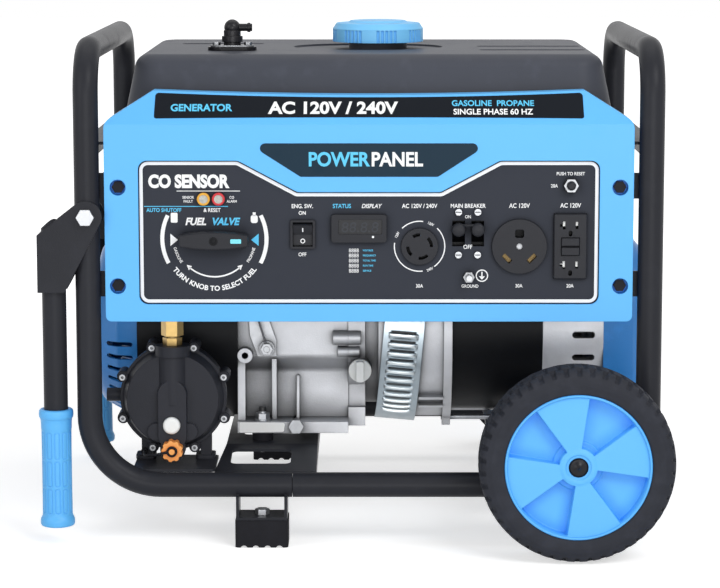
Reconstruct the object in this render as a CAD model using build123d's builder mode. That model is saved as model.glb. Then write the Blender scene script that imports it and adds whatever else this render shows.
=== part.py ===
import math
import os

from build123d import *

os.makedirs("parts", exist_ok=True)

# Frame tubes
tube_od = 25.4
tube_wall = 1.8
tube_r = tube_od / 2
post_x = 283.5
post_y = 215.0
lower_z = 61.0
frame_top = 515.0
upper_z = frame_top - tube_r
lower_bend = 72.0
upper_bend = 45.0
seam_x = -78.0
seam_gap = 0.6

# Clearances
running_fit = 0.05
slip_fit = 0.1
weld_gap = 0.05
play = 0.4

# Wheels and feet
wheel_d = 196.0
wheel_x = 206.5
wheel_face = 310.0
wheel_width = 58.0
rim_d = 146.0
axle_d = 16.0
plate_t = 4.0
foot_x = -109.0
foot_width = 52.0
foot_depth = 37.0
pad_height = 27.6
sheet = 3.0

# Folding handles
pivot_z = 337.5
pivot_d = 10.0
handle_offset = 34.5
handle_od = 24.4
grip_d = 30.5
grip_flange_d = 35.0
grip_bottom = 19.0
grip_top = 140.0

# Panel and bezel
bezel_half = 265.0
bezel_bottom = 231.0
bezel_front = -225.0
bezel_wall = 3.0
bezel_depth = 48.0
fold_z = 430.0
bezel_top = 462.0
panel_half = 231.0
panel_bottom = 248.6
panel_top = 393.5
panel_t = 2.0
panel_front = bezel_front + bezel_wall
panel_back = panel_front + panel_t

# Tank
tank_half = 256.0
tank_front = -166.0
tank_rear = 184.0
tank_seam = 412.0
tank_bottom = 392.0
tank_top = 495.0
tank_wall = 3.0
cap_x = 9.6
cap_d = 97.0
neck_d = 62.0
vent_x = -143.5
vent_y = -70.0

# Engine and alternator
crank_z = 196.0
foot_z = 93.0
rail_top = 84.0
case_left = -139.0
case_right = -22.0
cover_right = 10.0
adapter_right = 88.0
stator_right = 184.0
bell_right = 248.0
end_right = 291.0
housing_left = -245.0
recoil_left = -290.0
stator_r = 95.0
adapter_r = 103.0
shaft_r = 12.5
cylinder_tilt = 25.0

# Gas regulator
reg_x = -202.0
reg_z = 143.0
reg_front = -183.0
reg_split = -162.0
reg_back = -142.0

# The frame centre stands to the right of the middle of the whole object
reach_left = post_x + handle_offset + grip_flange_d / 2
reach_right = wheel_x + wheel_d / 2
frame_mid_x = (reach_left - reach_right) / 2


def front_plane(y):
    return Plane(origin=(frame_mid_x, y, 0), x_dir=(1, 0, 0), z_dir=(0, -1, 0))


def side_plane(x):
    return Plane(origin=(frame_mid_x + x, 0, 0), x_dir=(0, 1, 0), z_dir=(1, 0, 0))


def level_plane(z):
    return Plane(origin=(frame_mid_x, 0, z), x_dir=(1, 0, 0), z_dir=(0, 0, 1))


def cross_axis(x, z):
    return Axis((frame_mid_x + x, 0, z), (0, 1, 0))


def save(piece, name):
    piece.part.label = name
    export_step(piece.part, f"parts/{name}.step")


crank_axis = Axis((frame_mid_x, 0, crank_z), (1, 0, 0))


# Frame: two bent hoops that meet in the lower tubes
def bent_rod(side, radius):
    end_x = seam_x + side * seam_gap / 2
    with BuildPart() as rod:
        with BuildLine(level_plane(0)) as path:
            FilletPolyline(
                (end_x, -post_y, lower_z),
                (side * post_x, -post_y, lower_z),
                (side * post_x, -post_y, upper_z),
                (side * post_x, post_y, upper_z),
                (side * post_x, post_y, lower_z),
                (end_x, post_y, lower_z),
                radius=[lower_bend, upper_bend, upper_bend, lower_bend],
            )
        with BuildSketch(Plane(path.wire() @ 0, z_dir=path.wire() % 0)):
            Circle(radius)
        sweep(path=path.wire())
    return rod.part


def make_hoop(side):
    with BuildPart() as hoop:
        add(bent_rod(side, tube_r))
        add(bent_rod(side, tube_r - tube_wall), mode=Mode.SUBTRACT)
        if side < 0:
            with BuildSketch(front_plane(0)):
                with Locations((-post_x, pivot_z)):
                    Circle(pivot_d / 2 + running_fit)
            extrude(amount=post_y + tube_od, both=True, mode=Mode.SUBTRACT)
    return hoop


left_hoop = make_hoop(-1)
save(left_hoop, "frame_left_hoop")
right_hoop = make_hoop(1)
save(right_hoop, "frame_right_hoop")


# Crossmembers: pressed channels coped on to the lower tubes
def make_rail(foot_left, foot_right, top_left, top_right, bolts_x, bolt_y, windows):
    run = post_y - tube_r + 6
    ramp = 120.0
    width = foot_right - foot_left
    with BuildPart() as rail:
        with BuildSketch(side_plane(foot_left)):
            Polygon(
                (-run, lower_z + 12),
                (-ramp, rail_top),
                (ramp, rail_top),
                (run, lower_z + 12),
                (run, lower_z),
                (ramp, rail_top - 18),
                (-ramp, rail_top - 18),
                (-run, lower_z),
            )
        extrude(amount=width)
        with BuildSketch(side_plane(foot_left + sheet)):
            Polygon(
                (-run - 1, lower_z + 12 - sheet),
                (-ramp, rail_top - sheet),
                (ramp, rail_top - sheet),
                (run + 1, lower_z + 12 - sheet),
                (run + 1, 0),
                (-run - 1, 0),
            )
        extrude(amount=width - 2 * sheet, mode=Mode.SUBTRACT)
        with BuildSketch(level_plane(0)):
            Polygon(
                (foot_left, -run),
                (foot_right, -run),
                (top_right, -ramp),
                (top_right, ramp),
                (foot_right, run),
                (foot_left, run),
                (top_left, ramp),
                (top_left, -ramp),
            )
        extrude(amount=rail_top, mode=Mode.INTERSECT)
        with BuildSketch(side_plane(foot_left - 1)):
            with Locations((-post_y, lower_z), (post_y, lower_z)):
                Circle(tube_r + weld_gap)
        extrude(amount=width + 2, mode=Mode.SUBTRACT)
        with BuildSketch(level_plane(0)):
            for x in bolts_x:
                with Locations((x, -bolt_y), (x, bolt_y)):
                    Circle(4 + slip_fit)
            for x, y, w, h in windows:
                with Locations((x, -y), (x, y)):
                    RectangleRounded(w, h, 6)
        extrude(amount=rail_top, mode=Mode.SUBTRACT)
    return rail


engine_bolt_x = (-113.0,)
engine_bolt_y = 96.0
alternator_bolt_x = (198.0,)
alternator_bolt_y = 62.0
engine_rail = make_rail(
    -158, -54, -150, -54, engine_bolt_x, engine_bolt_y, [(-112, 160, 62, 46), (-104, 40, 60, 60)]
)
alternator_rail = make_rail(
    112, 211, 128, 211, alternator_bolt_x, alternator_bolt_y, [(168, 160, 60, 40), (160, 30, 50, 40)]
)
with BuildPart() as cross_rails:
    add(engine_rail.part)
    add(alternator_rail.part)
save(cross_rails, "cross_rails")

mount_places = [(x, s * engine_bolt_y) for x in engine_bolt_x for s in (-1, 1)]
mount_places += [(x, s * alternator_bolt_y) for x in alternator_bolt_x for s in (-1, 1)]

with BuildPart() as mounts:
    with BuildSketch(level_plane(rail_top)):
        with Locations(*mount_places):
            Circle(11)
        with Locations(*mount_places):
            Circle(4 + slip_fit, mode=Mode.SUBTRACT)
    extrude(amount=foot_z - rail_top)
save(mounts, "vibration_mounts")

mount_foot_t = 12.0
with BuildPart() as mount_bolts:
    with BuildSketch(level_plane(rail_top - 13)):
        with Locations(*mount_places):
            Circle(4)
    extrude(amount=foot_z - rail_top + 13 + mount_foot_t + 14)
    with BuildSketch(level_plane(foot_z + mount_foot_t)):
        with Locations(*mount_places):
            Circle(8.5)
    extrude(amount=1.6)
    with BuildSketch(level_plane(foot_z + mount_foot_t + 1.6)):
        with Locations(*mount_places):
            RegularPolygon(7.5, 6)
    extrude(amount=6)
    with BuildSketch(level_plane(rail_top - sheet)):
        with Locations(*mount_places):
            RegularPolygon(7.5, 6)
    extrude(amount=-6)

# Tank rails: angles welded between the front and rear posts
rail_z = tank_seam - 1
rail_in = tank_half + 3
tank_bolt_x = tank_half + 7.5
tank_bolt_y = (-135.0, 150.0)
with BuildPart() as tank_rails:
    for side in (-1, 1):
        with BuildSketch(front_plane(post_y - tube_r + 3)):
            Polygon(
                (side * rail_in, rail_z),
                (side * 288, rail_z),
                (side * 288, rail_z - 24),
                (side * (288 - sheet), rail_z - 24),
                (side * (288 - sheet), rail_z - sheet),
                (side * rail_in, rail_z - sheet),
            )
    extrude(amount=2 * (post_y - tube_r + 3))
    with BuildSketch(level_plane(rail_z - 30)):
        for side in (-1, 1):
            with Locations((side * post_x, -post_y), (side * post_x, post_y)):
                Circle(tube_r + weld_gap)
    extrude(amount=40, mode=Mode.SUBTRACT)
    with BuildSketch(level_plane(rail_z - 10)):
        for side in (-1, 1):
            with Locations(*[(side * tank_bolt_x, y) for y in tank_bolt_y]):
                Circle(3 + slip_fit)
            with Locations((side * (bezel_half - 10), bezel_front + bezel_depth - 20)):
                Rectangle(23, 44)
    extrude(amount=12, mode=Mode.SUBTRACT)

# Panel tabs: small welded plates that the bezel bolts screw into
bezel_bolts_at = [(s * x, z) for s in (-1, 1) for x, z in ((251.5, 366.6), (252.5, 267.0))]
boss_back = bezel_front + 17
with BuildPart() as panel_tabs:
    with BuildSketch(front_plane(boss_back + sheet)):
        for x, z in bezel_bolts_at:
            with Locations((x + math.copysign(8, x), z)):
                RectangleRounded(38, 26, 6)
    extrude(amount=sheet)
    with BuildSketch(level_plane(200)):
        for side in (-1, 1):
            with Locations((side * post_x, -post_y)):
                Circle(tube_r + weld_gap)
    extrude(amount=250, mode=Mode.SUBTRACT)
    with BuildSketch(front_plane(0)):
        with Locations(*bezel_bolts_at):
            Circle(3 + slip_fit)
    extrude(amount=300, mode=Mode.SUBTRACT)

# Feet: bent straps under the lower tubes with rubber pads
with BuildPart() as foot_straps:
    for side in (-1, 1):
        with BuildSketch(front_plane(side * post_y + foot_depth / 2)):
            with Locations((foot_x, (pad_height + lower_z - 4) / 2)):
                Rectangle(foot_width, lower_z - 4 - pad_height)
            with Locations((foot_x, (pad_height + sheet + lower_z + 2) / 2)):
                Rectangle(foot_width - 2 * sheet, lower_z + 2 - pad_height - sheet, mode=Mode.SUBTRACT)
        extrude(amount=foot_depth)
    with BuildSketch(side_plane(foot_x - foot_width)):
        with Locations((-post_y, lower_z), (post_y, lower_z)):
            Circle(tube_r + weld_gap)
        for side in (-1, 1):
            for hand in (-1, 1):
                with Locations((side * post_y + hand * foot_depth / 2, lower_z)):
                    Rectangle(17, 18)
    extrude(amount=2 * foot_width, mode=Mode.SUBTRACT)
    with BuildSketch(level_plane(0)):
        with Locations((foot_x, -post_y), (foot_x, post_y)):
            Circle(4 + slip_fit)
    extrude(amount=pad_height + 10, mode=Mode.SUBTRACT)

with BuildPart() as feet:
    with BuildSketch(level_plane(0)):
        with Locations((foot_x, -post_y), (foot_x, post_y)):
            RectangleRounded(foot_width + 2, foot_depth + 3, 4)
    extrude(amount=pad_height)
    with BuildSketch(front_plane(0)):
        for step in (-18, -6, 6, 18):
            with Locations((foot_x + step, -1.5)):
                Circle(3.6)
    extrude(amount=post_y + foot_depth, both=True, mode=Mode.SUBTRACT)
    with BuildSketch(level_plane(pad_height - 16)):
        with Locations((foot_x, -post_y), (foot_x, post_y)):
            Circle(4 + slip_fit)
    extrude(amount=20, mode=Mode.SUBTRACT)
save(feet, "rubber_feet")

with BuildPart() as foot_bolts:
    with BuildSketch(level_plane(pad_height - 15)):
        with Locations((foot_x, -post_y), (foot_x, post_y)):
            Circle(4)
    extrude(amount=15 + sheet)
    with BuildSketch(level_plane(pad_height + sheet)):
        with Locations((foot_x, -post_y), (foot_x, post_y)):
            RegularPolygon(7.5, 6)
    extrude(amount=5.5)

# Running gear: plates on the outside of the lower tubes carry stub axles
wheel_z = wheel_d / 2
plate_face = post_y + tube_r
with BuildPart() as axle_plates:
    for side in (-1, 1):
        with BuildSketch(front_plane(side * (plate_face + plate_t / 2) + plate_t / 2)):
            with Locations((wheel_x, (lower_z - 10 + wheel_z) / 2)):
                Rectangle(56, wheel_z - lower_z + 10)
            with Locations((wheel_x, wheel_z)):
                Circle(28)
            with Locations((wheel_x, wheel_z)):
                Circle(axle_d / 2 + slip_fit, mode=Mode.SUBTRACT)
        extrude(amount=plate_t)


def turned(side, profile):
    return [(side * y, wheel_z + r) for y, r in profile]


wheel_inner = wheel_face - wheel_width
with BuildPart() as axles:
    for side in (-1, 1):
        with BuildSketch(side_plane(wheel_x)):
            Polygon(
                *turned(
                    side,
                    [
                        (plate_face - 12, 0),
                        (wheel_face - 4, 0),
                        (wheel_face - 4, axle_d / 2),
                        (wheel_inner - play, axle_d / 2),
                        (wheel_inner - play, 13),
                        (plate_face + plate_t, 13),
                        (plate_face + plate_t, axle_d / 2),
                        (plate_face - 12, axle_d / 2),
                    ],
                )
            )
        revolve(axis=cross_axis(wheel_x, wheel_z))
        with BuildSketch(front_plane(side * (plate_face - 4.5) + 4.5)):
            with Locations((wheel_x, wheel_z)):
                RegularPolygon(12, 6)
                Circle(axle_d / 2 - 1, mode=Mode.SUBTRACT)
        extrude(amount=9)
    for side in (-1, 1):
        with BuildSketch(side_plane(wheel_x)):
            with BuildLine():
                cap_axis = Line((side * (wheel_face - 4), wheel_z), (side * (wheel_face + 2), wheel_z))
                dome = RadiusArc(cap_axis @ 1, (side * (wheel_face - 4), wheel_z + 11), side * 12)
                Line(dome @ 1, cap_axis @ 0)
            make_face()
        revolve(axis=cross_axis(wheel_x, wheel_z))
save(axles, "stub_axles")


def make_rim(side):
    with BuildPart() as rim:
        with BuildSketch(side_plane(wheel_x)):
            Polygon(
                *turned(
                    side,
                    [
                        (wheel_face - 4.4, axle_d / 2 + running_fit),
                        (wheel_face - 4.4, 17),
                        (wheel_face - 9, 22),
                        (wheel_face - 9, 60),
                        (wheel_face - 3, 66),
                        (wheel_face - 3, rim_d / 2),
                        (wheel_inner + 3, rim_d / 2),
                        (wheel_inner + 3, 66),
                        (wheel_face - 25, 60),
                        (wheel_face - 25, 22),
                        (wheel_inner, 18),
                        (wheel_inner, axle_d / 2 + running_fit),
                    ],
                )
            )
        revolve(axis=cross_axis(wheel_x, wheel_z))
        with BuildSketch(front_plane(side * (wheel_face - 4))):
            with Locations((wheel_x, wheel_z)):
                Circle(56)
                Circle(23, mode=Mode.SUBTRACT)
            with Locations((wheel_x, wheel_z)):
                for quarter in range(4):
                    first = math.radians(90 * quarter - 8)
                    last = math.radians(90 * quarter + 36)
                    Polygon(
                        (0, 0),
                        (90 * math.cos(first), 90 * math.sin(first)),
                        (90 * math.cos(last), 90 * math.sin(last)),
                        mode=Mode.SUBTRACT,
                    )
        extrude(amount=side * 14, mode=Mode.SUBTRACT)
    return rim


def make_tyre(side):
    tread_r = wheel_d / 2
    outer = wheel_face
    inner = wheel_inner
    with BuildPart() as tyre:
        with BuildSketch(side_plane(wheel_x)) as section:
            Polygon(
                *turned(
                    side,
                    [
                        (outer - 3, rim_d / 2 + weld_gap),
                        (outer - 1, rim_d / 2 + 4),
                        (outer, rim_d / 2 + 12),
                        (outer - 5, tread_r - 5),
                        (outer - 12, tread_r - 1.5),
                        (outer - 20, tread_r),
                        (inner + 20, tread_r),
                        (inner + 12, tread_r - 1.5),
                        (inner + 5, tread_r - 5),
                        (inner, rim_d / 2 + 12),
                        (inner + 1, rim_d / 2 + 4),
                        (inner + 3, rim_d / 2 + weld_gap),
                    ],
                )
            )
        revolve(axis=cross_axis(wheel_x, wheel_z))
        for face_y in (outer, inner + 13):
            with BuildSketch(front_plane(side * face_y)):
                with Locations((wheel_x, wheel_z)):
                    with PolarLocations(tread_r, 36):
                        Rectangle(11, 5)
            extrude(amount=side * 13, mode=Mode.SUBTRACT)
    return tyre


for side, place in ((-1, "front"), (1, "rear")):
    save(make_rim(side), f"wheel_rim_{place}")
    save(make_tyre(side), f"wheel_tyre_{place}")


# Folding handles: a bent bracket straddles the post and carries the tube and grip
handle_x = -(post_x + handle_offset)
web_left = handle_x - handle_od / 2 - 2.6
cheek_in = tube_r + play
cheek_out = cheek_in + sheet


def make_arm(side):
    with BuildPart() as arm:
        with BuildSketch(front_plane(side * post_y + cheek_out)):
            with Locations((-post_x, pivot_z)):
                Circle(16)
            Polygon(
                (web_left, 261),
                (web_left, 319),
                (-post_x - 7, pivot_z + 14.4),
                (-post_x + 14.5, pivot_z - 6.8),
                (handle_x + 16, 268),
                (handle_x + 12, 261),
            )
        extrude(amount=2 * cheek_out)
        with BuildSketch(front_plane(side * post_y + cheek_in)):
            with Locations((web_left + 62.8, pivot_z)):
                Rectangle(120, 200)
        extrude(amount=2 * cheek_in, mode=Mode.SUBTRACT)
        with BuildSketch(front_plane(side * post_y)):
            with Locations((-post_x, pivot_z)):
                Circle(pivot_d / 2 + running_fit)
        extrude(amount=2 * tube_od, both=True, mode=Mode.SUBTRACT)
        with BuildSketch(level_plane(grip_bottom + 5)):
            with Locations((handle_x, side * post_y)):
                Circle(handle_od / 2)
        extrude(amount=pivot_z - grip_bottom - 5)
        with BuildSketch(level_plane(grip_bottom)):
            with Locations((handle_x, side * post_y)):
                Circle(handle_od / 2 - tube_wall)
        extrude(amount=pivot_z, mode=Mode.SUBTRACT)
        with BuildSketch(side_plane(handle_x)):
            with Locations((side * post_y, pivot_z)):
                Circle(tube_r + play)
        extrude(amount=handle_od / 2 + 0.1, both=True, mode=Mode.SUBTRACT)
    return arm


def make_grip(side):
    body_r = grip_d / 2
    flange_r = grip_flange_d / 2
    centre = Plane(
        origin=(frame_mid_x + handle_x, side * post_y, 0), x_dir=(1, 0, 0), z_dir=(0, -1, 0)
    )
    with BuildPart() as grip:
        with BuildSketch(centre) as section:
            Polygon(
                (0, grip_bottom),
                (flange_r, grip_bottom),
                (flange_r, grip_bottom + 9),
                (body_r, grip_bottom + 12),
                (body_r, grip_top - 12),
                (flange_r, grip_top - 9),
                (flange_r, grip_top),
                (handle_od / 2 + running_fit, grip_top),
                (handle_od / 2 + running_fit, grip_bottom + 4.9),
                (0, grip_bottom + 4.9),
            )
            fillet(section.vertices().filter_by(lambda v: v.X > flange_r - 0.1), 2.5)
        revolve(axis=Axis(centre.origin, (0, 0, 1)))
    return grip


for side, place in ((-1, "front"), (1, "rear")):
    save(make_arm(side), f"handle_arm_{place}")
    save(make_grip(side), f"handle_grip_{place}")

with BuildPart() as pivot_bolts:
    for side in (-1, 1):
        outside = side * (post_y + cheek_out + 0.3)
        inside = side * (post_y - cheek_out - 0.3)
        with BuildSketch(front_plane(side * post_y)):
            with Locations((-post_x, pivot_z)):
                Circle(pivot_d / 2)
        extrude(amount=cheek_out + 2, both=True)
        with BuildSketch(front_plane(outside)):
            with Locations((-post_x, pivot_z)):
                RegularPolygon(9, 6)
        extrude(amount=-side * 6)
        with BuildSketch(front_plane(inside)):
            with Locations((-post_x, pivot_z)):
                RegularPolygon(9, 6)
        extrude(amount=side * 8)

# Bezel: moulded shell with shoulders, a folded-back top and a window for the panel
side_y = bezel_front + bezel_depth
bezel_top_y = bezel_front + 34


def bezel_profile(inset):
    return [
        (bezel_front + inset, bezel_bottom + inset),
        (bezel_front + inset, fold_z),
        (bezel_top_y + inset, bezel_top + 8 - inset),
        (side_y + 1, bezel_top + 8 - inset),
        (side_y + 1, bezel_bottom + inset),
    ]


def panel_outline(grow):
    side = panel_half + grow
    low = panel_bottom - grow
    high = panel_top + grow
    return [
        (-side, low),
        (-side, high),
        (-131 + grow / 2, high),
        (-71.6 + grow / 2, 362 + grow),
        (71.6 - grow / 2, 362 + grow),
        (131 - grow / 2, high),
        (side, high),
        (side, low),
    ]


def bezel_front_outline(inset):
    half = bezel_half - inset
    top = bezel_top - inset
    with BuildSketch(front_plane(bezel_front), mode=Mode.PRIVATE) as face:
        with BuildLine():
            b1 = Polyline(
                (-217, top),
                (-half, fold_z + 2),
                (-half, bezel_bottom + inset),
                (half, bezel_bottom + inset),
                (half, fold_z + 2),
                (217, top),
            )
            ThreePointArc(b1 @ 1, (0, top - 4.5), b1 @ 0)
        make_face()
        corners = face.vertices().group_by(Axis.Y)
        fillet(corners[0], 6)
        fillet(face.vertices().sort_by(lambda v: abs(v.Y - fold_z - 2))[:2], 12)
    return face.sketch


def bezel_solid(inset):
    with BuildPart() as solid:
        with BuildSketch(side_plane(-300)):
            Polygon(*bezel_profile(inset))
        extrude(amount=600)
        extrude(bezel_front_outline(inset), amount=-bezel_depth - inset, mode=Mode.INTERSECT)
    return solid.part


with BuildPart() as bezel:
    add(bezel_solid(0))
    add(bezel_solid(bezel_wall), mode=Mode.SUBTRACT)
    with BuildSketch(front_plane(boss_back)):
        with Locations(*bezel_bolts_at):
            Circle(11)
    extrude(amount=boss_back - bezel_front - 1)
    with BuildSketch(front_plane(bezel_front - 1)) as window:
        Polygon(*panel_outline(0))
        fillet(window.vertices(), 9)
    extrude(amount=-bezel_wall - 2, mode=Mode.SUBTRACT)
    with BuildSketch(front_plane(bezel_front - 1)):
        with Locations(*bezel_bolts_at):
            Circle(8)
    extrude(amount=-11, mode=Mode.SUBTRACT)
    with BuildSketch(front_plane(bezel_front)):
        with Locations(*bezel_bolts_at):
            Circle(3 + slip_fit)
    extrude(amount=-40, mode=Mode.SUBTRACT)
    with BuildSketch(side_plane(-bezel_half - 5)):
        for z in sorted({z for x, z in bezel_bolts_at}):
            with Locations(((boss_back - 0.4 + side_y + 2) / 2, z)):
                Rectangle(side_y + 2.4 - boss_back, 27)
    extrude(amount=10, mode=Mode.SUBTRACT)
    with BuildSketch(side_plane(bezel_half - 5)):
        for z in sorted({z for x, z in bezel_bolts_at}):
            with Locations(((boss_back - 0.4 + side_y + 2) / 2, z)):
                Rectangle(side_y + 2.4 - boss_back, 27)
    extrude(amount=10, mode=Mode.SUBTRACT)
save(bezel, "panel_bezel")

with BuildPart() as bezel_bolts:
    with BuildSketch(front_plane(bezel_front + 10)):
        with Locations(*bezel_bolts_at):
            RegularPolygon(6.5, 6)
    extrude(amount=5)
    with BuildSketch(front_plane(bezel_front + 8)):
        with Locations(*bezel_bolts_at):
            Circle(3)
    extrude(amount=-18)
save(bezel_bolts, "bezel_bolts")

# Control panel: plate clamped behind the bezel window, with a cut-out for each device
dial_at = (-155.2, 314.6)
lights_at = [(-165.8, 354.9), (-150.8, 354.9)]
switch_at = (-66.5, 319.2)
display_at = (-10.1, 325.4)
twist_at = (50.8, 307.1)
toggle_x = (89.9, 109.1)
toggle_z = 320.0
ground_at = (100.4, 276.1)
rv_at = (151.0, 307.1)
duplex_at = (202.0, 307.2)
reset_at = (202.2, 368.7)
duplex_w = 33.3
duplex_h = 66.0
twist_r = 18.4
rv_r = 27.5

with BuildPart() as control_panel:
    with BuildSketch(front_plane(panel_front)) as plate:
        Polygon(*panel_outline(8))
        fillet(plate.vertices(), 9)
        with Locations(dial_at):
            Circle(5 + running_fit, mode=Mode.SUBTRACT)
        with Locations(*lights_at):
            Circle(5 + slip_fit, mode=Mode.SUBTRACT)
        with Locations(switch_at):
            Rectangle(23.2, 27.2, mode=Mode.SUBTRACT)
        with Locations(display_at):
            Rectangle(50.2, 24.2, mode=Mode.SUBTRACT)
        with Locations(twist_at):
            Circle(twist_r + slip_fit, mode=Mode.SUBTRACT)
        with Locations(*[(x, toggle_z) for x in toggle_x]):
            Rectangle(12.8, 26, mode=Mode.SUBTRACT)
        with Locations(ground_at):
            Circle(3 + slip_fit, mode=Mode.SUBTRACT)
        with Locations(rv_at):
            Circle(rv_r + slip_fit, mode=Mode.SUBTRACT)
        with Locations(duplex_at):
            Rectangle(duplex_w + 0.2, duplex_h + 0.2, mode=Mode.SUBTRACT)
        with Locations(reset_at):
            Circle(6 + slip_fit, mode=Mode.SUBTRACT)
    extrude(amount=-panel_t)
save(control_panel, "control_panel")

# Back box: folded sheet cover over the electrics behind the panel
box_back = panel_back + 62
with BuildPart() as panel_box:
    with BuildSketch(front_plane(box_back)):
        with Locations((60, 312.5)):
            Rectangle(334, 139)
    extrude(amount=box_back - panel_back)
    with BuildSketch(front_plane(box_back - 1.5)):
        with Locations((60, 312.5)):
            Rectangle(331, 136)
    extrude(amount=box_back - panel_back, mode=Mode.SUBTRACT)
    with BuildSketch(front_plane(box_back + 1)):
        for x in (-70, -50, -30, -10, 10):
            with Locations((x, 290)):
                SlotOverall(50, 5, rotation=90)
    extrude(amount=4, mode=Mode.SUBTRACT)
save(panel_box, "panel_box")

# Selector: lens-shaped bar on a round base, its shaft runs in the panel
knob_r = 101.5
with BuildPart() as knob:
    with BuildSketch(front_plane(panel_front - 0.5)):
        with Locations(dial_at):
            Circle(18)
    extrude(amount=4)
    with BuildSketch(front_plane(panel_front - 4)) as bar:
        with Locations((dial_at[0], dial_at[1] + knob_r - 8)):
            Circle(knob_r)
        with Locations((dial_at[0], dial_at[1] - knob_r + 8)):
            Circle(knob_r, mode=Mode.INTERSECT)
    extrude(amount=17)
    tips = knob.edges().filter_by(Axis.Y)
    fillet(tips, 2.5)
    chamfer(knob.faces().sort_by(Axis.Y)[0].edges(), 1.5)
    with BuildSketch(front_plane(panel_front - 21)):
        with Locations(dial_at):
            Circle(4.2)
    extrude(amount=-2, mode=Mode.SUBTRACT)
    with BuildSketch(front_plane(panel_front - 2)):
        with Locations(dial_at):
            Circle(5)
    extrude(amount=-22)
    with BuildSketch(front_plane(panel_back + 0.3)):
        with Locations(dial_at):
            Circle(13)
    extrude(amount=-6)
save(knob, "selector_knob")

# Switch housing, display, breaker and reset breaker bodies set in the panel
pivot_back = panel_back + 10
with BuildPart() as switchgear:
    with BuildSketch(front_plane(panel_front)):
        with Locations(switch_at):
            RectangleRounded(25, 29, 2)
    extrude(amount=2)
    with BuildSketch(front_plane(panel_front + 24)):
        with Locations(switch_at):
            Rectangle(23, 27)
    extrude(amount=24)
    with BuildSketch(front_plane(panel_front - 3)):
        with Locations(switch_at):
            Rectangle(19.9, 24.4)
    extrude(amount=-22, mode=Mode.SUBTRACT)
    with BuildSketch(front_plane(panel_front)):
        with Locations(display_at):
            RectangleRounded(55.3, 28.2, 3)
    extrude(amount=4)
    with BuildSketch(front_plane(panel_front + 22)):
        with Locations(display_at):
            Rectangle(50, 24)
    extrude(amount=22)
    with BuildSketch(front_plane(panel_front - 5)):
        with Locations((display_at[0] + 1.3, display_at[1] + 1.6)):
            RectangleRounded(43.6, 14.7, 1)
    extrude(amount=-2.2, mode=Mode.SUBTRACT)
    with BuildSketch(front_plane(panel_back + 46)):
        with Locations((sum(toggle_x) / 2, toggle_z)):
            Rectangle(39, 64)
    extrude(amount=46)
    with BuildSketch(side_plane(toggle_x[0] - 6.4)):
        with Locations((pivot_back, toggle_z)):
            Circle(10)
            with Locations((-8, 0)):
                Rectangle(16, 26)
    extrude(amount=12.8, mode=Mode.SUBTRACT)
    with BuildSketch(side_plane(toggle_x[1] - 6.4)):
        with Locations((pivot_back, toggle_z)):
            Circle(10)
            with Locations((-8, 0)):
                Rectangle(16, 26)
    extrude(amount=12.8, mode=Mode.SUBTRACT)
    with BuildSketch(side_plane(toggle_x[0])):
        with Locations((pivot_back, toggle_z)):
            Circle(2 + running_fit)
    extrude(amount=toggle_x[1] - toggle_x[0], mode=Mode.SUBTRACT)
    with BuildSketch(front_plane(panel_back + 30)):
        with Locations(reset_at):
            Circle(11)
    extrude(amount=30)
    with BuildSketch(front_plane(panel_back)):
        with Locations(reset_at):
            Circle(6)
    extrude(amount=panel_t + 6)
    with BuildSketch(front_plane(panel_front)):
        with Locations(reset_at):
            RegularPolygon(8.1, 6)
    extrude(amount=4)
    with BuildSketch(front_plane(panel_front - 7)):
        with Locations(reset_at):
            Circle(4 + 0.3)
    extrude(amount=-18, mode=Mode.SUBTRACT)
save(switchgear, "switchgear_bodies")

with BuildPart() as reset_button:
    with BuildSketch(front_plane(panel_front + 3)):
        with Locations(reset_at):
            Circle(4)
    extrude(amount=13)
    fillet(reset_button.faces().sort_by(Axis.Y)[0].edges(), 1.5)
save(reset_button, "breaker_reset_button")


def swing(points, degrees, y, z):
    c = math.cos(math.radians(degrees))
    s = math.sin(math.radians(degrees))
    return [(y + c * a - s * b, z + s * a + c * b) for a, b in points]


rocker_tilt = 12.0
with BuildPart() as rocker:
    with BuildSketch(side_plane(switch_at[0] - 9.6)):
        Polygon(
            *swing(
                [(-5, 10.6), (-2.5, 0), (-5, -10.6), (0, -11.7), (6, -9), (6, 9), (0, 11.7)],
                rocker_tilt,
                panel_front + 3,
                switch_at[1],
            )
        )
    extrude(amount=19.2)
save(rocker, "switch_rocker")

lever_tilt = -15.0
with BuildPart() as toggle:
    for x in toggle_x:
        with BuildSketch(side_plane(x - 6)):
            with Locations((pivot_back, toggle_z)):
                Circle(9.5)
            Polygon(
                *swing(
                    [(0, -6), (-21, -5), (-23, -2), (-23, 2), (-21, 5), (0, 6)],
                    lever_tilt,
                    pivot_back,
                    toggle_z,
                )
            )
        extrude(amount=12)
    with BuildSketch(side_plane(toggle_x[0] - 5)):
        Polygon(*swing([(-21, 4), (-16, 4), (-16, 9), (-21, 9)], lever_tilt, pivot_back, toggle_z))
    extrude(amount=toggle_x[1] - toggle_x[0] + 10)
    with BuildSketch(side_plane(toggle_x[0])):
        with Locations((pivot_back, toggle_z)):
            Circle(2)
    extrude(amount=toggle_x[1] - toggle_x[0])
save(toggle, "breaker_toggle")

with BuildPart() as lights:
    with BuildSketch(front_plane(panel_front)):
        with Locations(*lights_at):
            Circle(6.4)
    extrude(amount=3.5)
    fillet(lights.faces().group_by(Axis.Y)[0].edges(), 2)
    with BuildSketch(front_plane(panel_front)):
        with Locations(*lights_at):
            Circle(5)
    extrude(amount=-14)
save(lights, "indicator_lights")

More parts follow.
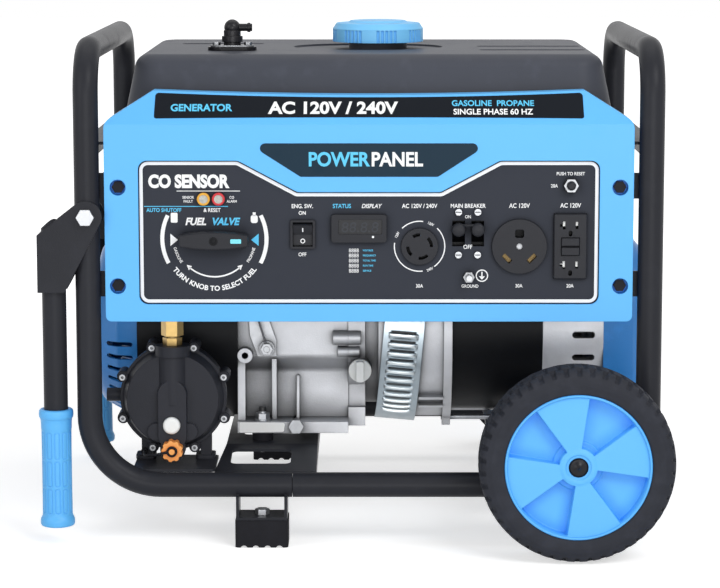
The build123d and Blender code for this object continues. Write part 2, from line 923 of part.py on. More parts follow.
# Receptacles: moulded faces through the panel, flanges behind it
with BuildPart() as twist_lock:
    with BuildSketch(front_plane(panel_back + 36)):
        with Locations(twist_at):
            Circle(twist_r)
    extrude(amount=36 + panel_t + 2.5)
    chamfer(twist_lock.faces().sort_by(Axis.Y)[0].edges(), 1)
    with BuildSketch(front_plane(panel_back + 5)):
        with Locations(twist_at):
            Circle(25)
    extrude(amount=5)
    with BuildSketch(front_plane(panel_front - 3)):
        with Locations(twist_at):
            for turn in (0, 90, 180, 270):
                SlotArc(CenterArc((0, 0), 11.5, turn + 20, 50, mode=Mode.PRIVATE), 2.6)
            with Locations((12.6 * math.cos(math.radians(110)), 12.6 * math.sin(math.radians(110)))):
                Rectangle(2.6, 5, rotation=20)
    extrude(amount=-14, mode=Mode.SUBTRACT)
save(twist_lock, "twist_lock_receptacle")

with BuildPart() as rv_receptacle:
    with BuildSketch(front_plane(panel_back + 32)):
        with Locations(rv_at):
            Circle(rv_r)
    extrude(amount=32 + panel_t + 3)
    chamfer(rv_receptacle.faces().sort_by(Axis.Y)[0].edges(), 1.2)
    with BuildSketch(front_plane(panel_back + 5)):
        with Locations(rv_at):
            Circle(30.4)
    extrude(amount=5)
    with BuildSketch(front_plane(panel_front - 4)):
        with Locations((rv_at[0], rv_at[1] + 13)):
            RectangleRounded(6.6, 7, 1.5)
        with Locations((rv_at[0] - 12, rv_at[1] - 7)):
            Rectangle(10, 3, rotation=45)
        with Locations((rv_at[0] + 12, rv_at[1] - 7)):
            Rectangle(10, 3, rotation=-45)
        with Locations(rv_at):
            Circle(3.3)
    extrude(amount=-14, mode=Mode.SUBTRACT)
save(rv_receptacle, "rv_receptacle")

button_w = 18.0
button_h = 8.2
buttons_z = [duplex_at[1] + 4.7, duplex_at[1] - 4.7]
with BuildPart() as duplex:
    with BuildSketch(front_plane(panel_back + 30)):
        with Locations(duplex_at):
            RectangleRounded(duplex_w, duplex_h, 2)
    extrude(amount=30 + panel_t + 4)
    chamfer(duplex.faces().sort_by(Axis.Y)[0].edges(), 1)
    with BuildSketch(front_plane(panel_back + 4)):
        with Locations(duplex_at):
            Rectangle(37.5, 74)
    extrude(amount=4)
    with BuildSketch(front_plane(panel_front - 5)):
        for z in (duplex_at[1] + 21.5, duplex_at[1] - 18.5):
            with Locations((duplex_at[0] - 6.4, z)):
                Rectangle(2.6, 8)
            with Locations((duplex_at[0] - 8, z)):
                Rectangle(5, 2.6)
            with Locations((duplex_at[0] + 6.4, z)):
                Rectangle(2.6, 7)
            with Locations((duplex_at[0], z - 8.3)):
                SlotOverall(5.6, 3.8, rotation=90)
        with Locations(*[(duplex_at[0], z) for z in buttons_z]):
            Rectangle(button_w + 0.8, button_h + 0.8)
    extrude(amount=-12, mode=Mode.SUBTRACT)
save(duplex, "duplex_receptacle")

for z, name in zip(buttons_z, ("duplex_test_button", "duplex_reset_button")):
    with BuildPart() as button:
        with BuildSketch(front_plane(panel_front)):
            with Locations((duplex_at[0], z)):
                RectangleRounded(button_w, button_h, 1)
        extrude(amount=5.5)
        chamfer(button.faces().sort_by(Axis.Y)[0].edges(), 0.6)
    save(button, name)

with BuildPart() as panel_hardware:
    with BuildSketch(front_plane(panel_front)):
        with Locations(*[(x, z) for x in toggle_x for z in (341.6, 298.4)]):
            Circle(3.4)
            SlotOverall(5.4, 1, mode=Mode.SUBTRACT)
    extrude(amount=1.8)
    with BuildSketch(front_plane(panel_front)):
        with Locations(*[(x, z) for x in toggle_x for z in (341.6, 298.4)]):
            Circle(3.4)
    extrude(amount=0.8)
    with BuildSketch(front_plane(panel_back + 14)):
        with Locations(ground_at):
            Circle(3)
    extrude(amount=14 + panel_t + 14)
    with BuildSketch(front_plane(panel_front)):
        with Locations(ground_at):
            RegularPolygon(5.8, 6)
    extrude(amount=5)
    with BuildSketch(front_plane(panel_back)):
        with Locations(ground_at):
            RegularPolygon(5.8, 6)
    extrude(amount=-5)
    with BuildSketch(front_plane(panel_front + 10)):
        with Locations(rv_at):
            Circle(3.2)
    extrude(amount=11.5)
save(panel_hardware, "panel_hardware")


# Tank: two drafted pressings joined at a flange that rests on the tank rails
def tank_solid(inset):
    mid_y = (tank_front + tank_rear) / 2
    wide = 2 * (tank_half - inset)
    deep = tank_rear - tank_front - 2 * inset
    with BuildPart() as solid:
        with BuildSketch(level_plane(tank_seam)):
            with Locations((0, mid_y)):
                RectangleRounded(wide, deep, 42 - inset)
        extrude(amount=tank_top - inset - tank_seam, taper=12)
        fillet(solid.faces().sort_by(Axis.Z)[-1].edges(), 15 - inset)
        with BuildSketch(level_plane(tank_seam)):
            with Locations((0, mid_y)):
                RectangleRounded(wide, deep, 42 - inset)
        extrude(amount=-(tank_seam - tank_bottom - inset), taper=10)
    return solid.part


with BuildPart() as fuel_tank:
    add(tank_solid(0))
    with BuildSketch(level_plane(rail_z)):
        with Locations((0, (tank_front + tank_rear) / 2)):
            RectangleRounded(2 * (tank_half + 13), tank_rear - tank_front + 14, 48)
    extrude(amount=2.5)
    with BuildSketch(level_plane(tank_top)):
        with Locations((-1, 4)):
            Ellipse(80, 66)
    extrude(amount=-1.8, mode=Mode.SUBTRACT)
    with BuildSketch(level_plane(tank_top)):
        with Locations((172, -62), (172, 10)):
            SlotOverall(112, 15)
        with Locations((-160, 60)):
            SlotOverall(90, 15)
    extrude(amount=-1.8, mode=Mode.SUBTRACT)
    add(tank_solid(tank_wall), mode=Mode.SUBTRACT)
    with BuildSketch(level_plane(tank_top - 6)):
        with Locations((cap_x, 0)):
            Circle(neck_d / 2)
    extrude(amount=16)
    with BuildSketch(level_plane(tank_top - 10)):
        with Locations((cap_x, 0)):
            Circle(neck_d / 2 - 3.5)
    extrude(amount=30, mode=Mode.SUBTRACT)
    with BuildSketch(level_plane(rail_z - 1)):
        with Locations(*[(s * tank_bolt_x, y) for s in (-1, 1) for y in tank_bolt_y]):
            Circle(3 + slip_fit)
    extrude(amount=5, mode=Mode.SUBTRACT)
save(fuel_tank, "fuel_tank")

with BuildPart() as tank_bolts:
    bolt_places = [(s * tank_bolt_x, y) for s in (-1, 1) for y in tank_bolt_y]
    with BuildSketch(level_plane(rail_z - 12)):
        with Locations(*bolt_places):
            Circle(3)
    extrude(amount=16)
    with BuildSketch(level_plane(rail_z + 2.5)):
        with Locations(*bolt_places):
            RegularPolygon(5.5, 6)
    extrude(amount=5)
    with BuildSketch(level_plane(rail_z - sheet)):
        with Locations(*bolt_places):
            RegularPolygon(5.5, 6)
    extrude(amount=-5)

neck_top = tank_top + 10
cap_axis = Axis((frame_mid_x + cap_x, 0, 0), (0, 0, 1))
cap_plane = Plane(origin=(frame_mid_x + cap_x, 0, 0), x_dir=(1, 0, 0), z_dir=(0, -1, 0))
with BuildPart() as cap_seal:
    with BuildSketch(level_plane(neck_top)):
        with Locations((cap_x, 0)):
            Circle(neck_d / 2 + 2)
            Circle(neck_d / 2 - 6, mode=Mode.SUBTRACT)
    extrude(amount=3)
save(cap_seal, "fuel_cap_seal")

with BuildPart() as fuel_cap:
    with BuildSketch(cap_plane) as section:
        Polygon(
            (0, neck_top + 3 + weld_gap),
            (cap_d / 2 - 6, neck_top + 3 + weld_gap),
            (cap_d / 2 - 4, neck_top - 4),
            (cap_d / 2, neck_top - 4),
            (cap_d / 2, neck_top + 10),
            (cap_d / 2 - 4, neck_top + 16),
            (cap_d / 2 - 16, neck_top + 16.5),
            (cap_d / 2 - 19, neck_top + 18.5),
            (0, neck_top + 18.5),
        )
        fillet(section.vertices().filter_by(lambda v: v.X > 1 and v.Y > neck_top + 12), 1.5)
    revolve(axis=cap_axis)
    with BuildSketch(level_plane(neck_top - 5)):
        with Locations((cap_x, 0)):
            for group in range(8):
                for rib in range(5):
                    angle = math.radians(45 * group + 5.5 * rib)
                    with Locations((cap_d / 2 * math.cos(angle), cap_d / 2 * math.sin(angle))):
                        Circle(1.5)
    extrude(amount=14, mode=Mode.SUBTRACT)
save(fuel_cap, "fuel_cap")

# Roll-over valve on the tank: rubber-footed body held by a clamp plate and two screws
clamp_z = tank_top + 4
with BuildPart() as vent_valve:
    with BuildSketch(level_plane(tank_top)):
        with Locations((vent_x, vent_y)):
            SlotOverall(51, 26)
    extrude(amount=4)
    with BuildSketch(level_plane(clamp_z)):
        with Locations((vent_x, vent_y)):
            Circle(9)
    extrude(amount=17)
    with BuildSketch(level_plane(clamp_z + 5)):
        with Locations((vent_x, vent_y)):
            Circle(11)
    extrude(amount=6)
    with Locations((frame_mid_x + vent_x, vent_y, clamp_z + 20)):
        Sphere(8.5)
    with BuildSketch(side_plane(vent_x)):
        with Locations((vent_y, clamp_z + 20)):
            Circle(4)
    extrude(amount=21)
    with BuildSketch(side_plane(vent_x + 16)):
        with Locations((vent_y, clamp_z + 20)):
            Circle(5)
    extrude(amount=3)
save(vent_valve, "vent_valve")

with BuildPart() as vent_clamp:
    with BuildSketch(level_plane(clamp_z)):
        with Locations((vent_x, vent_y)):
            SlotOverall(46, 21)
            Circle(9.2, mode=Mode.SUBTRACT)
    extrude(amount=1.6)
    with BuildSketch(level_plane(clamp_z + 1.6)):
        with Locations((vent_x - 16.5, vent_y), (vent_x + 16.5, vent_y)):
            RegularPolygon(4.2, 6)
    extrude(amount=3)
save(vent_clamp, "vent_clamp")

# Engine: crankcase with an inclined finned barrel at the rear
barrel_x = (case_left + case_right) / 2
tilt = math.radians(cylinder_tilt)


def barrel_plane(reach):
    along = (0, math.cos(tilt), math.sin(tilt))
    centre = (frame_mid_x + barrel_x, reach * along[1], crank_z + reach * along[2])
    return Plane(origin=centre, x_dir=(1, 0, 0), z_dir=along)


boss_list = [(-93, 193, 7.5, 16, 13), (-91, 178, 6, 11, 12), (-60, 246, 7, 14, 12), (60, 130, 7, 14, 12)]
with BuildPart() as crankcase:
    with BuildSketch(side_plane(case_left)) as section:
        Polygon(
            (-108, foot_z),
            (108, foot_z),
            (108, foot_z + mount_foot_t),
            (80, foot_z + mount_foot_t),
            (84, 150),
            (84, 235),
            (45, 286),
            (-45, 286),
            (-92, 245),
            (-92, 172),
            (-76, 156),
            (-76, foot_z + mount_foot_t),
            (-108, foot_z + mount_foot_t),
        )
        fillet(section.vertices().filter_by(lambda v: v.Y > foot_z + 20), 8)
    extrude(amount=case_right - case_left)
    with BuildSketch(side_plane(case_left + 36)):
        Polygon((-76, foot_z), (-92, foot_z), (-92, 170), (-76, 176))
    extrude(amount=5)
    with BuildSketch(side_plane(case_left + 62)):
        Polygon((-76, foot_z), (-92, foot_z), (-80, 150), (-76, 150))
    extrude(amount=3)
    with BuildSketch(side_plane(case_left)):
        Polygon((-76, foot_z), (-100, foot_z), (-95, 172), (-76, 190))
    extrude(amount=8)
    with BuildSketch(front_plane(-80)):
        with Locations((case_left + 8, 175)):
            Circle(8)
    extrude(amount=22)
    for y, z, r, ahead, back in boss_list:
        with BuildSketch(side_plane(case_right - ahead)):
            with Locations((y, z)):
                Circle(r)
        extrude(amount=ahead)
    with BuildSketch(barrel_plane(60)):
        Circle(46)
    extrude(amount=90)
    for step in range(8):
        with BuildSketch(barrel_plane(86 + 8 * step)):
            RectangleRounded(104, 104, 10)
        extrude(amount=2.5)
    with BuildSketch(side_plane(case_left + 10)):
        with Locations((0, crank_z)):
            Circle(62)
    extrude(amount=200, mode=Mode.SUBTRACT)
    with BuildSketch(side_plane(case_left - 1)):
        with Locations((0, crank_z)):
            Circle(shaft_r + running_fit)
    extrude(amount=30, mode=Mode.SUBTRACT)
    with BuildSketch(front_plane(-60)):
        with Locations((case_left + 8, 175)):
            Circle(3.4)
    extrude(amount=60, mode=Mode.SUBTRACT)
    with BuildSketch(level_plane(foot_z - 1)):
        with Locations(*mount_places[:2]):
            Circle(4 + slip_fit)
    extrude(amount=mount_foot_t + 2, mode=Mode.SUBTRACT)
    with BuildSketch(front_plane(-60)):
        with Locations((case_left + 62, foot_z + 8)):
            Circle(5 + slip_fit)
    extrude(amount=60, mode=Mode.SUBTRACT)
save(crankcase, "crankcase")

with BuildPart() as crankcase_cover:
    with BuildSketch(side_plane(case_right)):
        with Locations((0, crank_z)):
            Circle(94)
        with Locations((0, foot_z + 13)):
            Rectangle(164, 20)
        with Locations((0, 140)):
            Rectangle(150, 60)
    extrude(amount=18)
    with BuildSketch(side_plane(case_right + 18)):
        with Locations((0, crank_z)):
            Circle(88)
    extrude(amount=cover_right - case_right - 18)
    for y, z, r, ahead, back in boss_list:
        with BuildSketch(side_plane(case_right)):
            with Locations((y, z)):
                Circle(r)
        extrude(amount=back)
    with BuildSketch(front_plane(-50)):
        with Locations((-9.5, 159)):
            Circle(12.2)
    extrude(amount=48)
    with BuildSketch(side_plane(case_right - 1)):
        with Locations((0, crank_z)):
            Circle(55)
    extrude(amount=14, mode=Mode.SUBTRACT)
    with BuildSketch(side_plane(case_right)):
        with Locations((0, crank_z)):
            Circle(shaft_r + running_fit)
    extrude(amount=60, mode=Mode.SUBTRACT)
    with BuildSketch(front_plane(-80)):
        with Locations((-9.5, 159)):
            Circle(8)
    extrude(amount=40, mode=Mode.SUBTRACT)
save(crankcase_cover, "crankcase_cover")

with BuildPart() as oil_cap:
    with BuildSketch(front_plane(-98.3)):
        with Locations((-9.5, 159)):
            Circle(12)
    extrude(amount=5)
    with BuildSketch(front_plane(-103.3)):
        with Locations((-9.5, 159)):
            Circle(11)
            Rectangle(8, 24, mode=Mode.INTERSECT)
    extrude(amount=8)
    with BuildSketch(front_plane(-98.3)):
        with Locations((-9.5, 159)):
            Circle(8 - running_fit)
    extrude(amount=-14)
save(oil_cap, "oil_cap")

with BuildPart() as cylinder_head:
    for step in range(4):
        with BuildSketch(barrel_plane(151 + 8 * step)):
            RectangleRounded(104, 104, 8)
        extrude(amount=3)
    with BuildSketch(barrel_plane(150)):
        RectangleRounded(88, 84, 10)
    extrude(amount=34)
    with BuildSketch(barrel_plane(184)):
        RectangleRounded(84, 66, 14)
    extrude(amount=24)
    fillet(cylinder_head.faces().sort_by(Axis((0, 0, 0), barrel_plane(1).z_dir))[-1].edges(), 6)
    with BuildSketch(side_plane(barrel_x - 56)):
        with Locations((162, 275)):
            RectangleRounded(44, 40, 6)
    extrude(amount=14)
save(cylinder_head, "cylinder_head")

with BuildPart() as governor:
    with BuildSketch(front_plane(-92.2)):
        Polygon((-118, 173), (-98, 173), (-98, 190), (-112, 230), (-128, 230), (-126, 196))
        with Locations((-108, 182)):
            Circle(3 + running_fit, mode=Mode.SUBTRACT)
    extrude(amount=2)
    with BuildSketch(front_plane(-94.2)):
        with Locations((-108, 182)):
            Circle(8.2)
            Circle(3 + running_fit, mode=Mode.SUBTRACT)
    extrude(amount=5)
save(governor, "governor_lever")

# Fan housing and recoil cover on the left, flywheel inside them
housing_r = 102.0


def housing_outline(inset):
    with BuildSketch(side_plane(housing_left), mode=Mode.PRIVATE) as face:
        with Locations((0, crank_z)):
            Circle(housing_r - inset)
            with Locations(Location((50, 24), cylinder_tilt)):
                RectangleRounded(140 - 2 * inset, 112 - 2 * inset, 14 - inset)
    return face.sketch


with BuildPart() as fan_housing:
    extrude(housing_outline(0), amount=case_left - housing_left)
    extrude(housing_outline(2).moved(Location((2, 0, 0))), amount=case_left - housing_left - 5, mode=Mode.SUBTRACT)
    with BuildSketch(side_plane(housing_left - 1)):
        with Locations((0, crank_z)):
            Circle(72)
    extrude(amount=case_left - housing_left + 2, mode=Mode.SUBTRACT)
save(fan_housing, "fan_housing")

with BuildPart() as recoil:
    with BuildSketch(Plane(origin=(frame_mid_x, 0, crank_z), x_dir=(1, 0, 0), z_dir=(0, -1, 0))) as section:
        Polygon(
            (housing_left, 80),
            (housing_left, 99),
            (housing_left - 22, 97),
            (recoil_left, 84),
            (recoil_left, 0),
            (recoil_left + 2.5, 0),
            (recoil_left + 2.5, 82),
            (housing_left - 22, 94),
            (housing_left - 3, 96),
            (housing_left - 3, 80),
        )
        fillet(section.vertices().filter_by(lambda v: v.X < recoil_left + 1 and v.Y > 50), 14)
        fillet(section.vertices().filter_by(lambda v: abs(v.X - housing_left + 22) < 1), 8)
    revolve(axis=crank_axis)
    for first in (-66, 54, 174):
        for slot in range(8):
            angle = math.radians(first + 8.6 * slot)
            out = (0, -math.cos(angle), math.sin(angle))
            centre = (frame_mid_x + housing_left - 19, 80 * out[1], crank_z + 80 * out[2])
            with BuildSketch(Plane(origin=centre, x_dir=(1, 0, 0), z_dir=out)):
                SlotOverall(28, 5)
            extrude(amount=30, mode=Mode.SUBTRACT)
    with BuildSketch(side_plane(recoil_left - 1)):
        with Locations((0, crank_z)):
            with PolarLocations(52, 12):
                SlotOverall(26, 6)
    extrude(amount=8, mode=Mode.SUBTRACT)
save(recoil, "recoil_cover")

with BuildPart() as flywheel:
    with BuildSketch(side_plane(-212)):
        with Locations((0, crank_z)):
            Circle(88)
    extrude(amount=20)
    with BuildSketch(side_plane(-236)):
        with Locations((0, crank_z)):
            Circle(30)
            with PolarLocations(66, 16):
                Rectangle(40, 3, rotation=25)
    extrude(amount=26)
    with BuildSketch(side_plane(-240)):
        with Locations((0, crank_z)):
            Circle(shaft_r + 0.02)
    extrude(amount=60, mode=Mode.SUBTRACT)
save(flywheel, "flywheel")

throw = 27.0
rotor_r = 60.0
with BuildPart() as rotor_shaft:
    for start, stop, radius, lift in (
        (-238, -94, shaft_r, 0),
        (-66, bell_right - 2, shaft_r, 0),
        (-108, -94, 42, 0),
        (-66, -52, 42, 0),
        (-100, -60, 14, throw),
        (adapter_right + 4, stator_right - 4, rotor_r, 0),
    ):
        with BuildSketch(side_plane(start)):
            with Locations((0, crank_z + lift)):
                Circle(radius)
        extrude(amount=stop - start)
    with BuildSketch(side_plane(-240)):
        with Locations((0, crank_z)):
            RegularPolygon(17, 6)
    extrude(amount=3.9)
save(rotor_shaft, "rotor_shaft")

# Intake and exhaust at the rear
with BuildPart() as air_cleaner:
    with BuildSketch(level_plane(264)):
        with Locations((-199, 162)):
            RectangleRounded(100, 88, 18)
    extrude(amount=94)
    fillet(air_cleaner.faces().sort_by(Axis.Z)[-1].edges(), 12)
    with BuildSketch(side_plane(-152)):
        with Locations((158, 280)):
            Circle(12)
    extrude(amount=barrel_x - 56 + 152)
    with BuildSketch(level_plane(267)):
        with Locations((-199, 162)):
            RectangleRounded(94, 82, 15)
    extrude(amount=79, mode=Mode.SUBTRACT)
    with BuildSketch(side_plane(-160)):
        with Locations((158, 280)):
            Circle(9)
    extrude(amount=60, mode=Mode.SUBTRACT)
save(air_cleaner, "air_cleaner")

with BuildPart() as muffler:
    with BuildSketch(side_plane(20)):
        with Locations((140, 300)):
            RectangleRounded(110, 96, 26)
    extrude(amount=200)
    fillet(muffler.faces().sort_by(Axis.X)[0].edges(), 8)
    fillet(muffler.faces().sort_by(Axis.X)[-1].edges(), 8)
    with BuildSketch(side_plane(barrel_x + 52)):
        with Locations((158, 276)):
            Circle(13)
    extrude(amount=60)
    with BuildSketch(side_plane(210)):
        with Locations((160, 320)):
            Circle(14)
            Circle(11, mode=Mode.SUBTRACT)
    extrude(amount=32)
    with BuildSketch(side_plane(22)):
        with Locations((140, 300)):
            RectangleRounded(106, 92, 24)
    extrude(amount=196, mode=Mode.SUBTRACT)
    with BuildSketch(side_plane(216)):
        with Locations((160, 320)):
            Circle(11)
    extrude(amount=26, mode=Mode.SUBTRACT)
save(muffler, "muffler")

# Alternator: adapter casting, stator stack, rear bell and end cover on through bolts
rod_r = 104.5
rod_angles = (-105, -75, 75, 105)
rod_places = [
    (rod_r * math.cos(math.radians(a)), crank_z + rod_r * math.sin(math.radians(a))) for a in rod_angles
]
with BuildPart() as adapter:
    with BuildSketch(side_plane(cover_right)):
        with Locations((0, crank_z)):
            Circle(adapter_r)
    extrude(amount=adapter_right - cover_right)
    with BuildSketch(side_plane(adapter_right - 9)):
        with Locations((0, crank_z)):
            Circle(adapter_r + 3)
        for angle in rod_angles:
            with Locations(Location((0, crank_z), angle)):
                with Locations((rod_r - 7, 0)):
                    SlotOverall(32, 17)
    extrude(amount=9)
    for angle in (-41, -49):
        turn = math.radians(angle)
        out = (0, -math.cos(turn), math.sin(turn))
        centre = (frame_mid_x + 66, 100 * out[1], crank_z + 100 * out[2])
        with BuildSketch(Plane(origin=centre, x_dir=(1, 0, 0), z_dir=out)):
            Rectangle(26, 4)
        extrude(amount=8)
    with BuildSketch(side_plane(cover_right + 6)):
        with Locations((0, crank_z)):
            Circle(adapter_r - 8)
    extrude(amount=120, mode=Mode.SUBTRACT)
    with BuildSketch(side_plane(0)):
        with Locations((0, crank_z)):
            Circle(50)
        with Locations(*rod_places):
            Circle(3 + slip_fit)
    extrude(amount=120, mode=Mode.SUBTRACT)
save(adapter, "alternator_adapter")

band_tilt = math.radians(5)
band_dir = (math.cos(band_tilt), 0, -math.sin(band_tilt))
band_centre = (frame_mid_x + 36.4, 0, crank_z)
band_r = adapter_r + 2.5


def band_plane(degrees, radius):
    turn = math.radians(degrees)
    out = Vector(0, -math.cos(turn), 0) + Vector(math.sin(band_tilt), 0, math.cos(band_tilt)) * math.sin(turn)
    return Plane(origin=Vector(*band_centre) + out * radius, x_dir=band_dir, z_dir=out)


with BuildPart() as band:
    start = band_plane(55, 0)
    with BuildSketch(Plane(origin=band_centre, x_dir=band_dir, z_dir=start.y_dir * -1)):
        with Locations((0, band_r + 0.7)):
            Rectangle(43, 1.4)
    revolve(axis=Axis(band_centre, band_dir), revolution_arc=140)
    for louvre in range(11):
        with BuildSketch(band_plane(5 - 8.6 * louvre, band_r + 0.8)):
            SlotOverall(33, 7.6)
        extrude(amount=4.2, taper=32)
save(band, "louvre_band")

with BuildPart() as stator:
    with BuildSketch(side_plane(adapter_right)):
        with Locations((0, crank_z)):
            Circle(stator_r)
            Circle(rotor_r + 1, mode=Mode.SUBTRACT)
    extrude(amount=stator_right - adapter_right)
save(stator, "stator")

with BuildPart() as rear_bell:
    with BuildSketch(side_plane(stator_right)):
        with Locations((0, crank_z)):
            Circle(stator_r)
        for angle in rod_angles:
            with Locations(Location((0, crank_z), angle)):
                with Locations((rod_r - 7, 0)):
                    SlotOverall(32, 17)
    extrude(amount=9)
    with BuildSketch(side_plane(stator_right)):
        with Locations((0, crank_z)):
            Circle(stator_r)
    extrude(amount=bell_right - stator_right)
    for side in (-1, 1):
        with BuildSketch(side_plane(alternator_bolt_x[0] - 13)):
            with Locations((side * 62, foot_z + mount_foot_t / 2)):
                Rectangle(34, mount_foot_t)
            with Locations((side * 47, foot_z + 22)):
                Rectangle(8, 44)
        extrude(amount=26)
    with BuildSketch(side_plane(stator_right - 1)):
        with Locations((0, crank_z)):
            Circle(stator_r - 9)
    extrude(amount=bell_right - stator_right - 9, mode=Mode.SUBTRACT)
    for slot in range(24):
        turn = math.radians(15 * slot)
        out = (0, -math.cos(turn), math.sin(turn))
        centre = (frame_mid_x + bell_right - 21, 70 * out[1], crank_z + 70 * out[2])
        with BuildSketch(Plane(origin=centre, x_dir=(1, 0, 0), z_dir=out)):
            SlotOverall(24, 7)
        extrude(amount=40, mode=Mode.SUBTRACT)
    with BuildSketch(side_plane(stator_right - 1)):
        with Locations((0, crank_z)):
            Circle(shaft_r + running_fit)
        with Locations(*rod_places):
            Circle(3 + slip_fit)
    extrude(amount=100, mode=Mode.SUBTRACT)
    with BuildSketch(level_plane(foot_z - 1)):
        with Locations(*mount_places[2:]):
            Circle(4 + slip_fit)
    extrude(amount=mount_foot_t + 2, mode=Mode.SUBTRACT)
save(rear_bell, "rear_bell")

with BuildPart() as end_cover:
    with BuildSketch(side_plane(bell_right)):
        with Locations((0, crank_z)):
            RectangleRounded(188, 188, 60)
    extrude(amount=end_right - bell_right)
    fillet(end_cover.faces().sort_by(Axis.X)[-1].edges(), 12)
    with BuildSketch(side_plane(bell_right - 1)):
        with Locations((0, crank_z)):
            RectangleRounded(182, 182, 57)
    extrude(amount=end_right - bell_right - 12, mode=Mode.SUBTRACT)
    with BuildSketch(side_plane(end_right + 1)):
        for step in (-2, -1, 0, 1, 2):
            with Locations((0, crank_z + 18 * step)):
                SlotOverall(100, 7)
    extrude(amount=-30, mode=Mode.SUBTRACT)
save(end_cover, "end_cover")

with BuildPart() as engine_screws:
    with BuildSketch(side_plane(adapter_right - 10)):
        with Locations(*rod_places):
            Circle(3)
    extrude(amount=stator_right - adapter_right + 24)
    with BuildSketch(side_plane(stator_right + 9)):
        with Locations(*rod_places):
            RegularPolygon(6, 6)
    extrude(amount=5)
    with BuildSketch(front_plane(-108)):
        with Locations((case_left + 62, foot_z + 8)):
            RegularPolygon(8, 6)
    extrude(amount=7)
    with BuildSketch(front_plane(-108)):
        with Locations((case_left + 62, foot_z + 8)):
            Circle(5)
    extrude(amount=-20)
    with BuildSketch(front_plane(-92)):
        with Locations((-108, 182)):
            Circle(3)
    extrude(amount=12)
    with BuildSketch(front_plane(-99.5)):
        with Locations((-108, 182)):
            RegularPolygon(6.4, 6)
    extrude(amount=4)

# Gas regulator: two cast halves on a bracket over the lower left tube
boss_ring = 56.5
primer_at = (reg_x - 0.6, 117.4)
inlet_at = (reg_x + 0.3, 92.8)
stand_z = 77.0
with BuildPart() as regulator_body:
    with BuildSketch(front_plane(reg_back)):
        with Locations((reg_x, reg_z)):
            Circle(54)
            with PolarLocations(boss_ring, 8, start_angle=22.5):
                Circle(6)
        for left, right in ((-34, -23), (27, 38)):
            Polygon(
                (reg_x + left, stand_z),
                (reg_x + right, stand_z),
                (reg_x + right, reg_z - 20),
                (reg_x + left, reg_z - 20),
            )
    extrude(amount=reg_split * -1 + reg_back)
    with BuildSketch(level_plane(stand_z)):
        for left in (-38, 24):
            with Locations((reg_x + left + 8, (reg_back + reg_split) / 2)):
                RectangleRounded(20, 26, 4)
    extrude(amount=4)
    with BuildSketch(side_plane(reg_x - 50)):
        with Locations(((reg_back + reg_split) / 2, reg_z)):
            Circle(7)
    extrude(amount=-20)
save(regulator_body, "regulator_body")

tube_y = reg_front + 8
with BuildPart() as regulator_cover:
    with BuildSketch(front_plane(reg_split)):
        with Locations((reg_x, reg_z)):
            Circle(55)
            with PolarLocations(boss_ring, 8, start_angle=22.5):
                Circle(6)
    extrude(amount=6)
    with BuildSketch(front_plane(reg_split - 6)):
        with Locations((reg_x, reg_z)):
            Circle(52)
    extrude(amount=reg_split - 6 - reg_front, taper=18)
    with BuildSketch(front_plane(reg_split - 6)):
        with Locations((reg_x, reg_z)):
            with PolarLocations(boss_ring, 8, start_angle=22.5):
                Circle(5.2)
    extrude(amount=4)
    with BuildSketch(front_plane(reg_front + 2)):
        with Locations((reg_x, 128)):
            SlotOverall(74, 31, rotation=90)
    extrude(amount=9, taper=6)
    with BuildSketch(front_plane(reg_front + 2)):
        with Locations((reg_x - 17, 110), (reg_x + 17, 110)):
            Circle(9)
        with Locations((reg_x, 110)):
            Rectangle(30, 18)
    extrude(amount=6)
    with BuildSketch(level_plane(138)):
        with Locations((reg_x, tube_y)):
            Circle(15.5)
    extrude(amount=54)
    with BuildSketch(level_plane(188)):
        with Locations((reg_x, tube_y)):
            Circle(18)
    extrude(amount=11)
    with BuildSketch(front_plane(reg_split - 4)):
        with Locations(inlet_at):
            Circle(13)
    extrude(amount=24)
    with BuildSketch(front_plane(reg_front - 8)):
        with Locations(primer_at):
            Circle(9.3)
    extrude(amount=-14, mode=Mode.SUBTRACT)
    with BuildSketch(front_plane(reg_split - 30)):
        with Locations(inlet_at):
            Circle(6 + slip_fit)
    extrude(amount=-16, mode=Mode.SUBTRACT)
    with BuildSketch(level_plane(190)):
        with Locations((reg_x, tube_y)):
            Circle(6 + slip_fit)
    extrude(amount=20, mode=Mode.SUBTRACT)
    with BuildSketch(front_plane(reg_split)):
        with Locations((reg_x, reg_z)):
            Rectangle(200, 200)
    extrude(amount=-60, mode=Mode.SUBTRACT)
save(regulator_cover, "regulator_cover")

with BuildPart() as regulator_screws:
    with BuildSketch(front_plane(reg_split - 10)):
        with Locations((reg_x, reg_z)):
            with PolarLocations(boss_ring, 8, start_angle=22.5):
                Circle(3.2)
                RegularPolygon(1.6, 6, mode=Mode.SUBTRACT)
    extrude(amount=2.6)
    with BuildSketch(front_plane(reg_split - 10)):
        with Locations((reg_x, reg_z)):
            with PolarLocations(boss_ring, 8, start_angle=22.5):
                Circle(3.2)
    extrude(amount=1)

with BuildPart() as machine_screws:
    add(engine_screws.part)
    add(regulator_screws.part)
save(machine_screws, "machine_screws")

